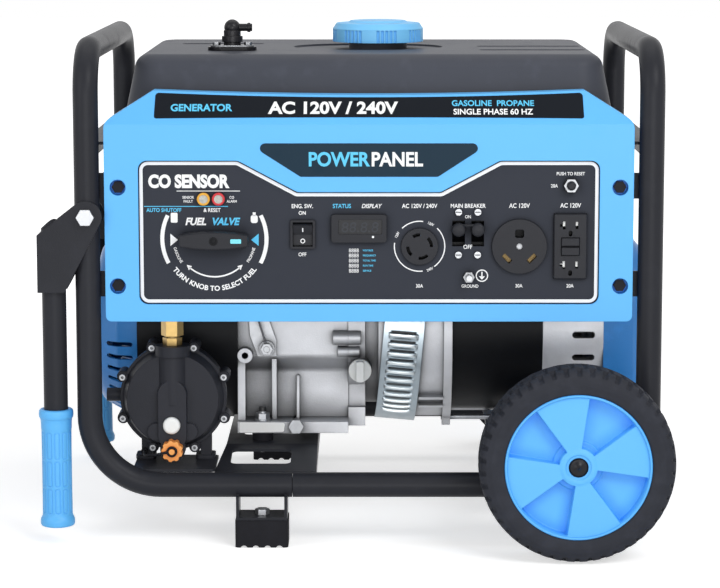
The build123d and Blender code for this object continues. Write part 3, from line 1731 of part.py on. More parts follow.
inlet_front = reg_split - 28
with BuildPart() as fittings:
    with BuildSketch(level_plane(191)):
        with Locations((reg_x, tube_y)):
            Circle(6)
    extrude(amount=12)
    with BuildSketch(level_plane(199)):
        with Locations((reg_x, tube_y)):
            RegularPolygon(10, 6)
    extrude(amount=8)
    with BuildSketch(level_plane(207)):
        with Locations((reg_x, tube_y)):
            Circle(8)
    extrude(amount=3)
    with BuildSketch(level_plane(209)):
        with Locations((reg_x, tube_y)):
            RegularPolygon(11.4, 6)
    extrude(amount=20)
    with BuildSketch(front_plane(inlet_front + 11)):
        with Locations(inlet_at):
            Circle(6)
    extrude(amount=21)
    with BuildSketch(front_plane(inlet_front)):
        with Locations(inlet_at):
            Circle(8)
    extrude(amount=10)
save(fittings, "regulator_fittings")

with BuildPart() as primer:
    with BuildSketch(front_plane(reg_front)):
        with Locations(primer_at):
            Circle(8.9)
    extrude(amount=11)
    fillet(primer.faces().sort_by(Axis.Y)[0].edges(), 3)
save(primer, "primer_button")

cap_back = inlet_front - 0.4
cap_front = cap_back - 12.5
with BuildPart() as inlet_cap:
    with BuildSketch(front_plane(cap_back)):
        with Locations(inlet_at):
            Circle(11)
            with PolarLocations(12.6, 9):
                Circle(3, mode=Mode.SUBTRACT)
    extrude(amount=12.5)
    with BuildSketch(front_plane(cap_front)):
        with Locations(inlet_at):
            Circle(3)
    extrude(amount=3)
    with BuildSketch(front_plane(cap_back)):
        with Locations(inlet_at):
            Circle(8 + running_fit)
    extrude(amount=10.5, mode=Mode.SUBTRACT)
save(inlet_cap, "inlet_cap")

strap_y = cap_front - 1.4
with BuildPart() as tether:
    with BuildSketch(front_plane(cap_front - 0.4)):
        with Locations(inlet_at):
            Circle(5.6)
            Circle(3 + play, mode=Mode.SUBTRACT)
    extrude(amount=2)
    with BuildLine(level_plane(0)) as strap:
        FilletPolyline(
            (inlet_at[0] - 4.6, strap_y, inlet_at[1] - 0.5),
            (reg_x - 19, strap_y, 89),
            (reg_x - 31, strap_y + 16, 85.2),
            (reg_x - 31, reg_split - 1.5, 85.2),
            radius=7,
        )
    with BuildSketch(Plane(strap.wire() @ 0, z_dir=strap.wire() % 0)):
        Circle(1.4)
    sweep(path=strap.wire())
    with BuildSketch(front_plane(reg_split)):
        with Locations((reg_x - 31, 85.2)):
            Circle(3.6)
    extrude(amount=2.4)
save(tether, "cap_tether")

with BuildPart() as regulator_bracket:
    with BuildSketch(level_plane(stand_z - sheet)):
        with Locations((reg_x + 3, (reg_back - post_y) / 2)):
            RectangleRounded(84, reg_back + post_y, 5)
    extrude(amount=sheet)
    add(bent_rod(-1, tube_r + weld_gap), mode=Mode.SUBTRACT)

with BuildPart() as welded_brackets:
    add(tank_rails.part)
    add(panel_tabs.part)
    add(foot_straps.part)
    add(axle_plates.part)
    add(regulator_bracket.part)
save(welded_brackets, "welded_brackets")

with BuildPart() as frame_bolts:
    add(mount_bolts.part)
    add(foot_bolts.part)
    add(pivot_bolts.part)
    add(tank_bolts.part)
save(frame_bolts, "frame_bolts")
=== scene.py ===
import math

import bpy
import numpy as np
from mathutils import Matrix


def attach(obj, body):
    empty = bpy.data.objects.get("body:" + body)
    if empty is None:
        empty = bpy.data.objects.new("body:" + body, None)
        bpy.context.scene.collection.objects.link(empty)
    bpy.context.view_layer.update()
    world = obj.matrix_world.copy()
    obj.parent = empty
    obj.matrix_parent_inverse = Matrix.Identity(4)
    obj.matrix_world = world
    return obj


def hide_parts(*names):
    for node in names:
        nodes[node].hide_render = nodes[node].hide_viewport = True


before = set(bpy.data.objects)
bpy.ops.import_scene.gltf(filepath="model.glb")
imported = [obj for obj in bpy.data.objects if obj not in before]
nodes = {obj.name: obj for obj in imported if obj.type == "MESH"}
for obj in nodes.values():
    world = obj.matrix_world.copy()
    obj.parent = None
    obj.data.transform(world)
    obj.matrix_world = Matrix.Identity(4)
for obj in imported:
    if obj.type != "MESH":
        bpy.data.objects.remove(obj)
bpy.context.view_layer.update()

# Tube frame: two bent steel hoops with pressed cross rails and sheet brackets.
# All of it is welded together and powder coated satin black in one go.


class Tone:
    """A shader value. Arithmetic on it adds Math nodes to its material."""

    def __init__(self, finish, socket):
        self.finish = finish
        self.socket = socket

    def math(self, operation, first, second):
        return self.finish.node("ShaderNodeMath", {"operation": operation}, {0: first, 1: second})

    def __add__(self, other):
        return self.math("ADD", self, other)

    def __rsub__(self, other):
        return self.math("SUBTRACT", other, self)

    def __mul__(self, other):
        return self.math("MULTIPLY", self, other)

    def __pow__(self, other):
        return self.math("POWER", self, other)

    def __lt__(self, other):
        return self.math("LESS_THAN", self, other)

    def __gt__(self, other):
        return self.math("GREATER_THAN", self, other)

    __radd__ = __add__


class Finish:
    """A procedural material on Object coordinates, in metres, built by adding nodes to it."""

    def __init__(self, name):
        self.material = bpy.data.materials.new(name)
        self.material.use_nodes = True
        self.tree = self.material.node_tree
        self.shader = self.tree.nodes["Principled BSDF"]
        self.place = self.node("ShaderNodeTexCoord", {}, {}, "Object")

    def node(self, kind, settings, sockets, out=0):
        """Adds a node, sets its properties first and then its sockets, and returns one output."""
        added = self.tree.nodes.new(kind)
        for key, value in settings.items():
            setattr(added, key, value)
        for key, value in sockets.items():
            self.put(added.inputs[key], value)
        return Tone(self, added.outputs[out])

    def put(self, socket, value):
        """Links a shader value to the socket, or sets a plain number or colour on it."""
        if isinstance(value, Tone):
            self.tree.links.new(value.socket, socket)
        else:
            socket.default_value = value

    def noise(self, scale, detail=2.0):
        """Noise from 0 to 1 with about `scale` cells to the metre."""
        sockets = {"Vector": self.place, "Scale": scale, "Detail": detail}
        return self.node("ShaderNodeTexNoise", {}, sockets, "Fac")

    def blend(self, factor, first, second):
        """The first colour at factor 0 and the second at factor 1."""
        return self.node("ShaderNodeMix", {"data_type": "RGBA"}, {0: factor, 6: first, 7: second}, 2)

    def axis(self, number):
        """One coordinate of the surface point, 0 for X, 1 for Y, 2 for Z."""
        return self.node("ShaderNodeSeparateXYZ", {}, {0: self.place}, number)

    def wear(self, low, high, scale):
        """A ragged mask: 0 where broad noise is under low, 1 where it is over high."""
        sockets = {0: self.noise(scale, 6.0), 1: low, 2: high}
        return self.node("ShaderNodeMapRange", {}, sockets)

    def painted_shade_mask(self, distance, power):
        """A mask for painted shade: 1 on open faces, falling to 0 where other faces close in within the
        distance.
        """
        open_to = self.node("ShaderNodeAmbientOcclusion", {"samples": 6}, {"Distance": distance}, "AO")
        return open_to**power

    def surface(self, height, depth, edge):
        """Soft edges of the given radius, with the height field pressed into the surface."""
        sockets = {"Height": height, "Distance": depth, "Strength": 1.0}
        if edge:
            sockets["Normal"] = self.node("ShaderNodeBevel", {"samples": 4}, {"Radius": edge})
        self.put(self.shader.inputs["Normal"], self.node("ShaderNodeBump", {}, sockets))

    def paint(self, **values):
        """Sets the shader's sockets by name, with underscores for spaces."""
        for key, value in values.items():
            self.put(self.shader.inputs[key.replace("_", " ")], value)


def shade(colour, factor):
    """The colour made lighter or darker by the factor, with full alpha."""
    return tuple(min(1.0, c * factor) for c in colour) + (1.0,)


def powder_coat(name, colour, gloss=0.30, edge=0.0006, shine=0.10):
    """Orange-peel paint: fine noise as bump, broad noise in colour and roughness."""
    coat = Finish(name)
    broad = coat.noise(7.0, 4.0)
    dust = coat.wear(0.55, 0.8, 45.0)
    tint = coat.blend(broad, shade(colour, 0.85), shade(colour, 1.2))
    coat.paint(
        Base_Color=coat.blend(dust * 0.35, tint, shade(colour, 1.7)),
        Roughness=gloss + broad * 0.1 + dust * 0.08,
        Specular_IOR_Level=shine,
    )
    coat.surface(coat.noise(1100.0, 2.0), 0.00012, edge)
    return coat


def dress(finish, *names):
    """Gives the named CAD nodes one finish in place of what they came with."""
    for name in names:
        slots = nodes[name].data.materials
        slots.clear()
        slots.append(finish.material)


black = (0.022, 0.023, 0.028)
frame_coat = powder_coat("frame_powder_coat", black)
dress(frame_coat, "frame_left_hoop", "frame_right_hoop", "cross_rails", "welded_brackets")
dress(frame_coat, "handle_arm_front", "handle_arm_rear")

# Feet and engine mounts: moulded black rubber blocks that take up the shaking.
# The feet are bolted under the foot straps, the mounts between the rails and the engine.


def moulded_rubber(name, colour, rough=0.62):
    """Dull rubber with a pale bloom in patches and a fine grain."""
    rubber = Finish(name)
    bloom = rubber.wear(0.45, 0.75, 55.0)
    rubber.paint(
        Base_Color=rubber.blend(bloom * 0.5, shade(colour, 1.0), shade(colour, 1.7)),
        Roughness=rough + bloom * 0.15,
        Specular_IOR_Level=0.08,
    )
    rubber.surface(rubber.noise(900.0, 3.0), 0.00015, 0.0008)
    return rubber


foot_rubber = moulded_rubber("foot_rubber", (0.014, 0.014, 0.017))
dress(foot_rubber, "rubber_feet", "vibration_mounts", "fuel_cap_seal", "cap_tether")

# Bolts, nuts and screws: bright zinc-plated steel, and black ones on the bezel.
# The engine bolts end in bare black studs above their nuts.


def plated_steel(name, colour, rough=0.28):
    """Bright plating with a cloudy sheen, dull patches and painted shade where it is closed in."""
    plating = Finish(name)
    cloud = plating.noise(120.0, 4.0)
    dull = plating.wear(0.52, 0.78, 90.0)
    painted_shade_mask = plating.painted_shade_mask(0.008, 1.8)
    sheen = plating.blend(cloud, shade(colour, 0.72), shade(colour, 1.15))
    plating.paint(
        # Painted shade: the plating falls to nearly black where other faces close in.
        Base_Color=plating.blend(painted_shade_mask, shade(colour, 0.08), sheen),
        Metallic=0.8,
        Roughness=rough + cloud * 0.12 + dull * 0.15,
    )
    plating.surface(plating.noise(1500.0, 2.0), 0.00004, 0.0005)
    return plating


zinc = plated_steel("zinc_plating", (0.40, 0.41, 0.43))
dress(zinc, "machine_screws", "panel_hardware", "vent_clamp", "governor_lever")
bolt_zinc = plated_steel("bolt_zinc", (0.42, 0.43, 0.45))
stud = (bolt_zinc.axis(2) > 0.1145) * (bolt_zinc.axis(2) < 0.1215)
bolt_zinc.paint(
    Base_Color=bolt_zinc.blend(stud, (0.42, 0.43, 0.45, 1), (0.008, 0.008, 0.010, 1)),
    Metallic=0.8 - stud * 0.8,
)
dress(bolt_zinc, "frame_bolts")
dress(powder_coat("black_bolt", (0.010, 0.010, 0.013)), "bezel_bolts")

# Wheels: solid rubber tyres with moulded lugs, pressed onto blue plastic rims. Each rim has
# four broad wedges between sunk fields and turns on a stub axle, held by a dark hub cap.


def moulded_plastic(name, colour, rough=0.40, grain=0.00006, edge=0.0012, shine=0.4):
    """Injection-moulded plastic: even colour, fine spark grain, faint flow marks, and painted
    shade in closed corners as a deeper, more saturated copy of the colour."""
    plastic = Finish(name)
    flow = plastic.noise(5.0, 3.0)
    scuff = plastic.wear(0.6, 0.85, 70.0)
    tint = plastic.blend(flow, shade(colour, 0.95), shade(colour, 1.03))
    painted_shade_mask = plastic.painted_shade_mask(0.014, 1.3)
    plastic.paint(
        # Painted shade: closed corners take a deeper, more saturated copy of the colour.
        Base_Color=plastic.blend(painted_shade_mask, tuple(c**1.8 for c in colour) + (1.0,), tint),
        Roughness=rough + flow * 0.06 + scuff * 0.12,
        Specular_IOR_Level=shine,
    )
    plastic.surface(plastic.noise(2600.0, 1.0), grain, edge)
    return plastic


blue = (0.110, 0.46, 0.90)
blue_plastic = moulded_plastic("blue_plastic", blue)
dress(blue_plastic, "wheel_rim_front", "wheel_rim_rear")
tyre_rubber = moulded_rubber("tyre_rubber", (0.029, 0.031, 0.039), 0.60)
dress(tyre_rubber, "wheel_tyre_front", "wheel_tyre_rear")

frame_mid = 15.5


def metres(points):
    """Millimetres from the middle of the tube frame, as metres in the part's own frame."""
    return (np.asarray(points, float) + (frame_mid, 0.0, 0.0)) / 1000.0


def grid_faces(rows, columns, wrap_rows=False, wrap_columns=False):
    """Quads over a grid of points numbered row by row, joined end to end where it wraps."""
    down = np.arange(rows if wrap_rows else rows - 1)[:, None]
    along = np.arange(columns if wrap_columns else columns - 1)[None, :]
    below, beside = (down + 1) % rows, (along + 1) % columns
    corners = (down * columns + along, down * columns + beside)
    corners += (below * columns + beside, below * columns + along)
    return np.stack(corners, axis=-1).reshape(-1, 4)


def smooth(value, low, high):
    """0 below low, 1 above high and a smooth S between them."""
    step = np.clip((value - low) / (high - low), 0.0, 1.0)
    return step * step * (3.0 - 2.0 * step)


def piece(name, points, faces, finish, body, stands_for=(), rounded=True):
    """A mesh object from points in millimetres, riding on the body of that name."""
    mesh = bpy.data.meshes.new(name)
    mesh.from_pydata(metres(points).tolist(), [], [list(map(int, f)) for f in faces])
    mesh.polygons.foreach_set("use_smooth", np.full(len(mesh.polygons), rounded))
    mesh.materials.append(finish.material)
    made = bpy.data.objects.new(name, mesh)
    bpy.context.scene.collection.objects.link(made)
    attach(made, body)
    if stands_for:
        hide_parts(*stands_for)
    return made


wheel_x, wheel_z, wheel_face = 206.5, 98.0, 310.0
tyre_section = np.array(
    [(3.2, 73.1), (1.6, 74.5), (0.9, 78), (0.2, 82), (0.3, 86), (1.9, 90), (2.3, 91.2), (2.9, 92.4)]
    + [(4.6, 94.6), (8, 96.2), (13, 97.2), (20, 97.8), (29, 98.0)]
)
tyre_half, lugs, lug_columns = 29.0, 46, 14
tyre_section = np.vstack([tyre_section, (tyre_section * (-1, 1) + (2.0 * tyre_half, 0))[-2::-1]])


def spaced(profile, count):
    """The profile's points spread evenly along its own length."""
    run = np.hypot(*np.diff(profile, axis=0).T)
    at = np.concatenate([[0.0], np.cumsum(run)])
    even = np.linspace(0.0, at[-1], count)
    return np.column_stack([np.interp(even, at, profile[:, k]) for k in (0, 1)])


def tyre_points(side, rows=104, columns=lugs * lug_columns):
    """The section turned about the axle; shoulder lugs and centre blocks stand between
    grooves whose depth is a smooth pulse of the turn times a window across the tread."""
    section = spaced(tyre_section, rows)
    depth, radius = section[:, :1], section[:, 1:]
    turn = np.linspace(0.0, 2.0 * np.pi, columns, endpoint=False)[None, :]
    phase = (turn * lugs / (2.0 * np.pi)) % 1.0
    gap = 1.0 - smooth(np.abs(phase - 0.5), 0.13, 0.22)
    other = 1.0 - smooth(np.abs((phase + 0.5) % 1.0 - 0.5), 0.10, 0.18)
    reach = np.abs(depth - tyre_half)
    shoulder = smooth(reach, 14.5, 15.5) * smooth(radius, 92.0, 93.0)
    centre = 1.0 - smooth(reach, 9.5, 10.5)
    ring = 1.0 - smooth(np.abs(reach - 12.2), 0.9, 1.8)
    radius = radius - 3.0 * gap * shoulder - 2.2 * other * centre - 2.4 * ring
    y = side * (wheel_face - depth + 0.0 * turn)
    return np.stack([wheel_x + radius * np.cos(turn), y, wheel_z + radius * np.sin(turn)], -1)


def wheel_pair(name, points_at, finish):
    """The front and rear copies of a wheel piece, each riding on its own wheel."""
    for side, place in ((-1, "front"), (1, "rear")):
        points = points_at(side)
        faces = grid_faces(*points.shape[:2], wrap_rows=True, wrap_columns=True)
        faces = faces[:, ::-1] if side < 0 else faces
        made, node = f"{name}_{place}", f"wheel_{name}_{place}"
        piece(made, points.reshape(-1, 3), faces, finish, f"{place}_wheel", [node])


wheel_pair("tyre", tyre_points, tyre_rubber)
rim_section = np.array(
    [(4.4, 8.1), (4.4, 12.0), (3.4, 13.0), (3.4, 16.0), (4.2, 18.5), (4.2, 70.0), (2.4, 70.6), (2.0, 71.2)]
    + [(2.2, 72.5), (3.0, 73.0), (55.0, 73.0), (55.0, 66.0), (25.0, 60.0), (25.0, 22.0)]
    + [(58.0, 18.0), (58.0, 8.1)]
)
rim_front_rows = 10


def rim_points(side, rows=120, columns=600):
    """The section turned about the axle; four windows of the turn sink the front between two
    radii in a shallow and then a deeper step, and leave four broad wedges standing."""
    section = np.vstack([spaced(rim_section[:rim_front_rows], rows), rim_section[rim_front_rows:]])
    depth, radius = section[:, :1], section[:, 1:]
    turn = np.linspace(0.0, 2.0 * np.pi, columns, endpoint=False)[None, :]
    quarter = np.degrees(turn) % 90.0
    window = smooth(quarter, 36.5, 37.7) * (1.0 - smooth(quarter, 80.3, 81.5))
    steps = 9.5 * smooth(radius, 19.2, 19.9) + 3.0 * smooth(radius, 24.7, 25.4)
    sink = steps * (1.0 - smooth(radius, 69.0, 69.7)) * (depth < 6.0) * window
    y = side * (wheel_face - depth - sink)
    return np.stack([wheel_x + radius * np.cos(turn), y, wheel_z + radius * np.sin(turn)], -1)


wheel_pair("rim", rim_points, blue_plastic)
dark_plastic = moulded_plastic("dark_plastic", (0.012, 0.012, 0.015), 0.24, shine=0.2)
dress(dark_plastic, "stub_axles", "air_cleaner", "vent_valve")

# Handle grips: blue soft-plastic sleeves pushed over the tube ends. Three rows of
# oblong outlines are pressed into the barrel, and both ends carry a flange.
dress(blue_plastic, "handle_grip_front", "handle_grip_rear")
grip_x, grip_y, grip_barrel = -318.0, 215.0, 15.25
grip_section = np.array(
    [(0.0, 19.0), (14.8, 19.0), (16.6, 19.6), (17.4, 21.0), (17.5, 24.0), (17.3, 26.2), (16.4, 28.2)]
    + [(15.5, 30.0), (15.25, 32.0), (15.1, 60.0), (15.1, 100.0), (15.25, 118.0), (15.6, 121.0)]
    + [(15.7, 127.0), (16.1, 130.0), (17.1, 131.6), (17.5, 133.6), (17.5, 136.6), (17.0, 138.9)]
    + [(15.6, 140.0), (12.4, 140.0), (12.4, 120.0)]
)
oblong_rows, oblong_columns = ((33.5, 58.5), (61.5, 87.0), (90.0, 117.0)), 11


def grip_points(side, rows=330, columns=286):
    """The section turned about the tube; a groove follows the edge of each oblong,
    found as the distance to a rounded rectangle in the unrolled barrel."""
    section = spaced(grip_section, rows)
    radius, z = section[:, :1], section[:, 1:]
    turn = np.linspace(0.0, 2.0 * np.pi, columns, endpoint=False)[None, :]
    pitch = 2.0 * np.pi * grip_barrel / oblong_columns
    across = (turn * grip_barrel) % pitch - pitch / 2.0
    groove = np.zeros((rows, columns))
    for low, high in oblong_rows:
        beyond = np.abs(z - (low + high) / 2) - (high - low) / 2 + 2.0
        over = np.stack([np.abs(across) - 0.6 + 0.0 * z, beyond + 0.0 * turn])
        edge = np.hypot(*np.maximum(over, 0.0)) + np.minimum(over.max(0), 0.0) - 2.0
        groove = np.maximum(groove, 1.0 - smooth(np.abs(edge), 0.25, 0.75))
    radius = radius - 0.55 * groove * (radius > 14.9) * (radius < 15.9)
    x, y = grip_x + radius * np.cos(turn), side * grip_y + radius * np.sin(turn)
    return np.stack([x, y, z + 0.0 * turn], -1)


for side, place in ((-1, "front"), (1, "rear")):
    points = grip_points(side)
    faces = grid_faces(*points.shape[:2], wrap_columns=True)
    node = f"handle_grip_{place}"
    made, body = f"grip_{place}", f"{place}_handle"
    piece(made, points.reshape(-1, 3), faces, blue_plastic, body, [node])

# Engine castings: bead-blasted die-cast aluminium, bolted together along the shaft line.
# The rotor shaft and flywheel turn inside them, and the steel muffler hangs behind.


def casting(name, colour, rough=0.42):
    """Cast skin: coarse and fine grain in the surface, slight stains in the colour, and painted
    shade, nearly black, where the surface is closed in."""
    cast = Finish(name)
    stain = cast.noise(28.0, 5.0)
    grain = cast.noise(650.0, 4.0)
    skin = cast.blend(stain, shade(colour, 0.66), shade(colour, 1.16))
    painted_shade_mask = cast.painted_shade_mask(0.03, 2.0)
    cast.paint(
        # Painted shade: the casting falls to nearly black where the surface is closed in.
        Base_Color=cast.blend(painted_shade_mask, shade(colour, 0.06), skin),
        Metallic=0.55,
        Roughness=rough + stain * 0.14,
    )
    cast.surface(grain + cast.noise(140.0, 2.0) * 0.6, 0.00018, 0.0012)
    return cast


cast_alloy = casting("cast_alloy", (0.66, 0.67, 0.70))
dress(cast_alloy, "crankcase", "crankcase_cover", "cylinder_head", "alternator_adapter", "rear_bell")
pale_plastic = moulded_plastic("pale_plastic", (0.80, 0.81, 0.80), 0.38)
dress(pale_plastic, "oil_cap", "primer_button")
steel = plated_steel("turned_steel", (0.26, 0.26, 0.28), 0.3)
dress(steel, "rotor_shaft")
dress(casting("flywheel_iron", (0.22, 0.22, 0.23), 0.5), "flywheel")
muffler_steel = plated_steel("muffler_steel", (0.40, 0.39, 0.38), 0.42)
dress(muffler_steel, "muffler")

# Governor wire: a bent steel wire hooked to the governor lever. A bare white label is stuck
# on the front of the engine foot below it.


def rounded(corners, radius, steps=7):
    """A closed outline with each corner replaced by an arc of the radius, tangent to its sides."""
    corners = np.asarray(corners, float)
    before = corners - np.roll(corners, 1, 0)
    after = np.roll(corners, -1, 0) - corners
    before /= np.linalg.norm(before, axis=1, keepdims=True)
    after /= np.linalg.norm(after, axis=1, keepdims=True)
    turn = np.arctan2(before[:, 0] * after[:, 1] - before[:, 1] * after[:, 0], (before * after).sum(1))
    back = radius * np.abs(np.tan(turn / 2.0))
    left = np.column_stack([-before[:, 1], before[:, 0]]) * np.sign(turn)[:, None]
    centre = corners - before * back[:, None] + left * radius
    swing = np.linspace(0.0, 1.0, steps)[None, :] * turn[:, None]
    spoke = -left[:, None, :] * radius
    c, w = np.cos(swing), np.sin(swing)
    arc = np.stack([spoke[..., 0] * c - spoke[..., 1] * w, spoke[..., 0] * w + spoke[..., 1] * c], -1)
    return (centre[:, None, :] + arc).reshape(-1, 2)


def prism(outline, front, back):
    """An outline in X and Z made solid between two depths."""
    outline = np.asarray(outline, float)
    area = np.sum(outline[:, 0] * np.roll(outline[:, 1], -1) - np.roll(outline[:, 0], -1) * outline[:, 1])
    outline = outline if area > 0 else outline[::-1]
    count = len(outline)
    near = np.column_stack([outline[:, 0], np.full(count, front), outline[:, 1]])
    far = near + (0.0, back - front, 0.0)
    ring = np.arange(count)
    after = (ring + 1) % count
    sides = np.column_stack([ring, ring + count, after + count, after])
    return np.vstack([near, far]), [ring.tolist(), (ring + count)[::-1].tolist()] + sides.tolist()


def wire_along(path, radius, sides=12):
    """A round section of the radius carried along a path of points, square to its direction."""
    path = np.asarray(path, float)
    ahead = np.gradient(path, axis=0)
    ahead /= np.linalg.norm(ahead, axis=1, keepdims=True)
    aside = np.cross(ahead, (0.0, 1.0, 0.0))
    aside /= np.linalg.norm(aside, axis=1, keepdims=True)
    above = np.cross(aside, ahead)
    turn = np.linspace(0.0, 2.0 * np.pi, sides, endpoint=False)[None, :, None]
    points = path[:, None] + radius * (np.cos(turn) * aside[:, None] + np.sin(turn) * above[:, None])
    faces = grid_faces(len(path), sides, wrap_columns=True).tolist()
    faces += [list(range(sides))[::-1], [sides * (len(path) - 1) + k for k in range(sides)]]
    return points.reshape(-1, 3), [face[::-1] for face in faces]


bends = [(-106.6, -102.6, 178.0), (-109.6, -102.4, 190.0), (-114.8, -101.6, 207.0), (-121.0, -100.6, 228.0)]
points, faces = wire_along(bends, 1.0)
piece("governor_wire", points, faces, plated_steel("wire_steel", (0.09, 0.09, 0.10)), "governor")

paper = moulded_plastic("label_paper", (0.93, 0.93, 0.92), 0.5, 0.00002, 0.0)
blank = rounded([(-137.2, 93.4), (-90.0, 94.4), (-88.9, 104.0), (-137.0, 104.8)], 1.6, 5)
points, faces = prism(blank, -108.22, -107.98)
piece("blank_label", points, faces, paper, "frame", rounded=False)

# Covers and alternator: sheet steel covers in gloss blue at both ends, painted a deeper blue as shade,
# the stack and fan housing in black between them. A plated louvred band is wrapped round the adapter and
# clamped.
# Painted shade: the covers' blue is darkened to stand in for the shadow they sit in.
shaded_cover_paint = powder_coat("blue_cover_painted_shade", (0.024, 0.19, 0.52), 0.24, shine=0.4)
dress(shaded_cover_paint, "recoil_cover", "end_cover")
machine_black = powder_coat("machine_black", (0.004, 0.0045, 0.006), 0.38, shine=0.12)
dress(machine_black, "fan_housing", "stator", "panel_box")
louvre_zinc = plated_steel("louvre_zinc", (0.60, 0.68, 0.73), 0.26)
# Painted shade: each louvre's sunk slot is painted near-black and not metallic, for the shade inside the
# opening.
slot_shade_mask = louvre_zinc.node("ShaderNodeAttribute", {"attribute_name": "painted_slot_shade"}, {}, "Fac")
# Painted highlight: the swollen middle of each louvre is blended to near-white metal.
painted_highlight = louvre_zinc.node("ShaderNodeAttribute", {"attribute_name": "painted_highlight"}, {}, "Fac")
sheen = louvre_zinc.blend(louvre_zinc.noise(120.0, 4.0), (0.30, 0.35, 0.39, 1), (0.40, 0.46, 0.50, 1))
sheen = louvre_zinc.blend(painted_highlight, sheen, (0.86, 0.92, 0.94, 1))
louvre_zinc.paint(Base_Color=louvre_zinc.blend(slot_shade_mask, sheen, (0.006, 0.007, 0.009, 1)), Metallic=1.0 - slot_shade_mask)
dress(louvre_zinc, "louvre_band")
band_at, band_tilt, band_radius, band_half = (36.4, 0.0, 196.0), math.radians(5.0), 106.9, 21.5
louvre_first, louvre_pitch, louvre_count, louvre_half = 3.2, 5.45, 11.0, 15.6


def band_points(rows=720, columns=60):
    """Part of a cylinder about the tilted shaft line. Each louvre swells outwards at its
    upper lip, under a sunk slot painted dark as shade, and falls back in a smooth ramp down its height.
    The slot and the swell also come back as masks for painted shade and a painted highlight."""
    degrees = np.linspace(55.0, -85.0, rows)[:, None]
    across = np.linspace(-band_half, band_half, columns)[None, :]
    count = (louvre_first - degrees) / louvre_pitch
    down = (count - np.floor(count)) * (count > 0.0) * (count < louvre_count)
    ramp = smooth(down, 0.22, 0.30) * (1.0 - smooth(down, 0.45, 0.98))
    width = np.sqrt(np.clip(1.0 - (across / louvre_half) ** 2, 0.0, 1.0)) ** 0.7
    slot = smooth(down, 0.02, 0.07) * (1.0 - smooth(down, 0.22, 0.29))
    slot = slot * (1.0 - smooth(np.abs(across), 12.0, 13.6))
    radius = band_radius + 3.6 * ramp * width - 2.2 * slot
    turn = np.radians(degrees)
    along = np.array([math.cos(band_tilt), 0.0, -math.sin(band_tilt)])
    up = np.array([math.sin(band_tilt), 0.0, math.cos(band_tilt)])
    out = np.cos(turn)[..., None] * (0.0, -1.0, 0.0) + np.sin(turn)[..., None] * up
    return np.array(band_at) + across[..., None] * along + radius[..., None] * out, slot, ramp * width


points, slot, painted_highlight = band_points()
faces = grid_faces(*points.shape[:2])[:, ::-1]
band = piece("louvred_band", points.reshape(-1, 3), faces, louvre_zinc, "frame", ["louvre_band"])
band.data.attributes.new("painted_slot_shade", "FLOAT", "POINT").data.foreach_set("value", slot.ravel())
band.data.attributes.new("painted_highlight", "FLOAT", "POINT").data.foreach_set("value", painted_highlight.ravel())
wall = band.modifiers.new("sheet", "SOLIDIFY")
wall.thickness, wall.offset = 0.0013, -1.0

# Gas regulator: black painted die casting, screwed to a bracket at the lower left.
# Brass fittings are threaded into it, and an orange cap closes the gas inlet.
regulator_coat = powder_coat("regulator_coat", (0.022, 0.023, 0.029), 0.34, 0.0012, 0.12)
dress(regulator_coat, "regulator_body", "regulator_cover")
brass = plated_steel("brass", (0.52, 0.35, 0.13), 0.26)
dress(brass, "regulator_fittings")
dress(moulded_plastic("orange_plastic", (0.86, 0.36, 0.09), 0.4), "inlet_cap")

# Cap tether: a soft rubber strap from a ring on the inlet cap back to a button pressed into
# the regulator body, so that the cap stays with it.
bends = [(-206.3, -204.3, 92.3), (-221.0, -204.3, 89.0), (-233.0, -188.3, 85.2), (-233.0, -163.5, 85.2)]
route = metres(bends)
strap = bpy.data.curves.new("tether_strap", "CURVE")
strap.dimensions, strap.bevel_depth, strap.bevel_resolution = "3D", 0.0014, 4
spline = strap.splines.new("NURBS")
spline.points.add(len(route) - 1)
spline.points.foreach_set("co", np.column_stack([route, np.ones(len(route))]).ravel())
spline.order_u, spline.use_endpoint_u, spline.resolution_u = 3, True, 16
strap.materials.append(foot_rubber.material)
tether = bpy.data.objects.new("tether_strap", strap)
bpy.context.scene.collection.objects.link(tether)
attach(tether, "frame")
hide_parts("cap_tether")


def turned(section, centre, steps=40, closed=False):
    """A section of (radius, Y) rows turned about a line along Y through the centre, listed
    from the front outwards to the back. A closed section makes a ring, an open one has caps."""
    section = np.asarray(section, float)
    turn = np.linspace(0.0, 2.0 * np.pi, steps, endpoint=False)[None, :]
    radius, y = section[:, :1], section[:, 1:]
    x, z = centre[0] + radius * np.cos(turn), centre[1] + radius * np.sin(turn)
    points = np.stack([x, y + 0.0 * turn, z], -1)
    faces = grid_faces(len(section), steps, wrap_rows=closed, wrap_columns=True)[:, ::-1].tolist()
    if not closed:
        faces += [list(range(steps)), [steps * len(section) - 1 - k for k in range(steps)]]
    return points.reshape(-1, 3), faces


loop = [(5.3, -205.3), (5.6, -205.0), (5.6, -203.3), (3.5, -203.3), (3.5, -205.3)]
points, faces = turned(loop, (-201.7, 92.8), closed=True)
ring = piece("tether_ring", points, faces, foot_rubber, "frame")
points, faces = turned([(2.9, -164.4), (3.6, -163.8), (3.6, -162.0)], (-233.0, 85.2))
button = piece("tether_button", points, faces, foot_rubber, "frame")

# Fuel tank: deep-drawn steel shell in satin black, bolted to the tank rails.
# A ribbed blue plastic cap closes its filler neck.
tank_coat = powder_coat("tank_coat", (0.058, 0.062, 0.076), 0.40, 0.002, 0.12)
dress(tank_coat, "fuel_tank")
# Painted light: the cap's blue is a lighter copy of the rim blue, for the strong light on it.
dress(moulded_plastic("cap_blue_painted_lighter", (0.19, 0.57, 0.95)), "fuel_cap")

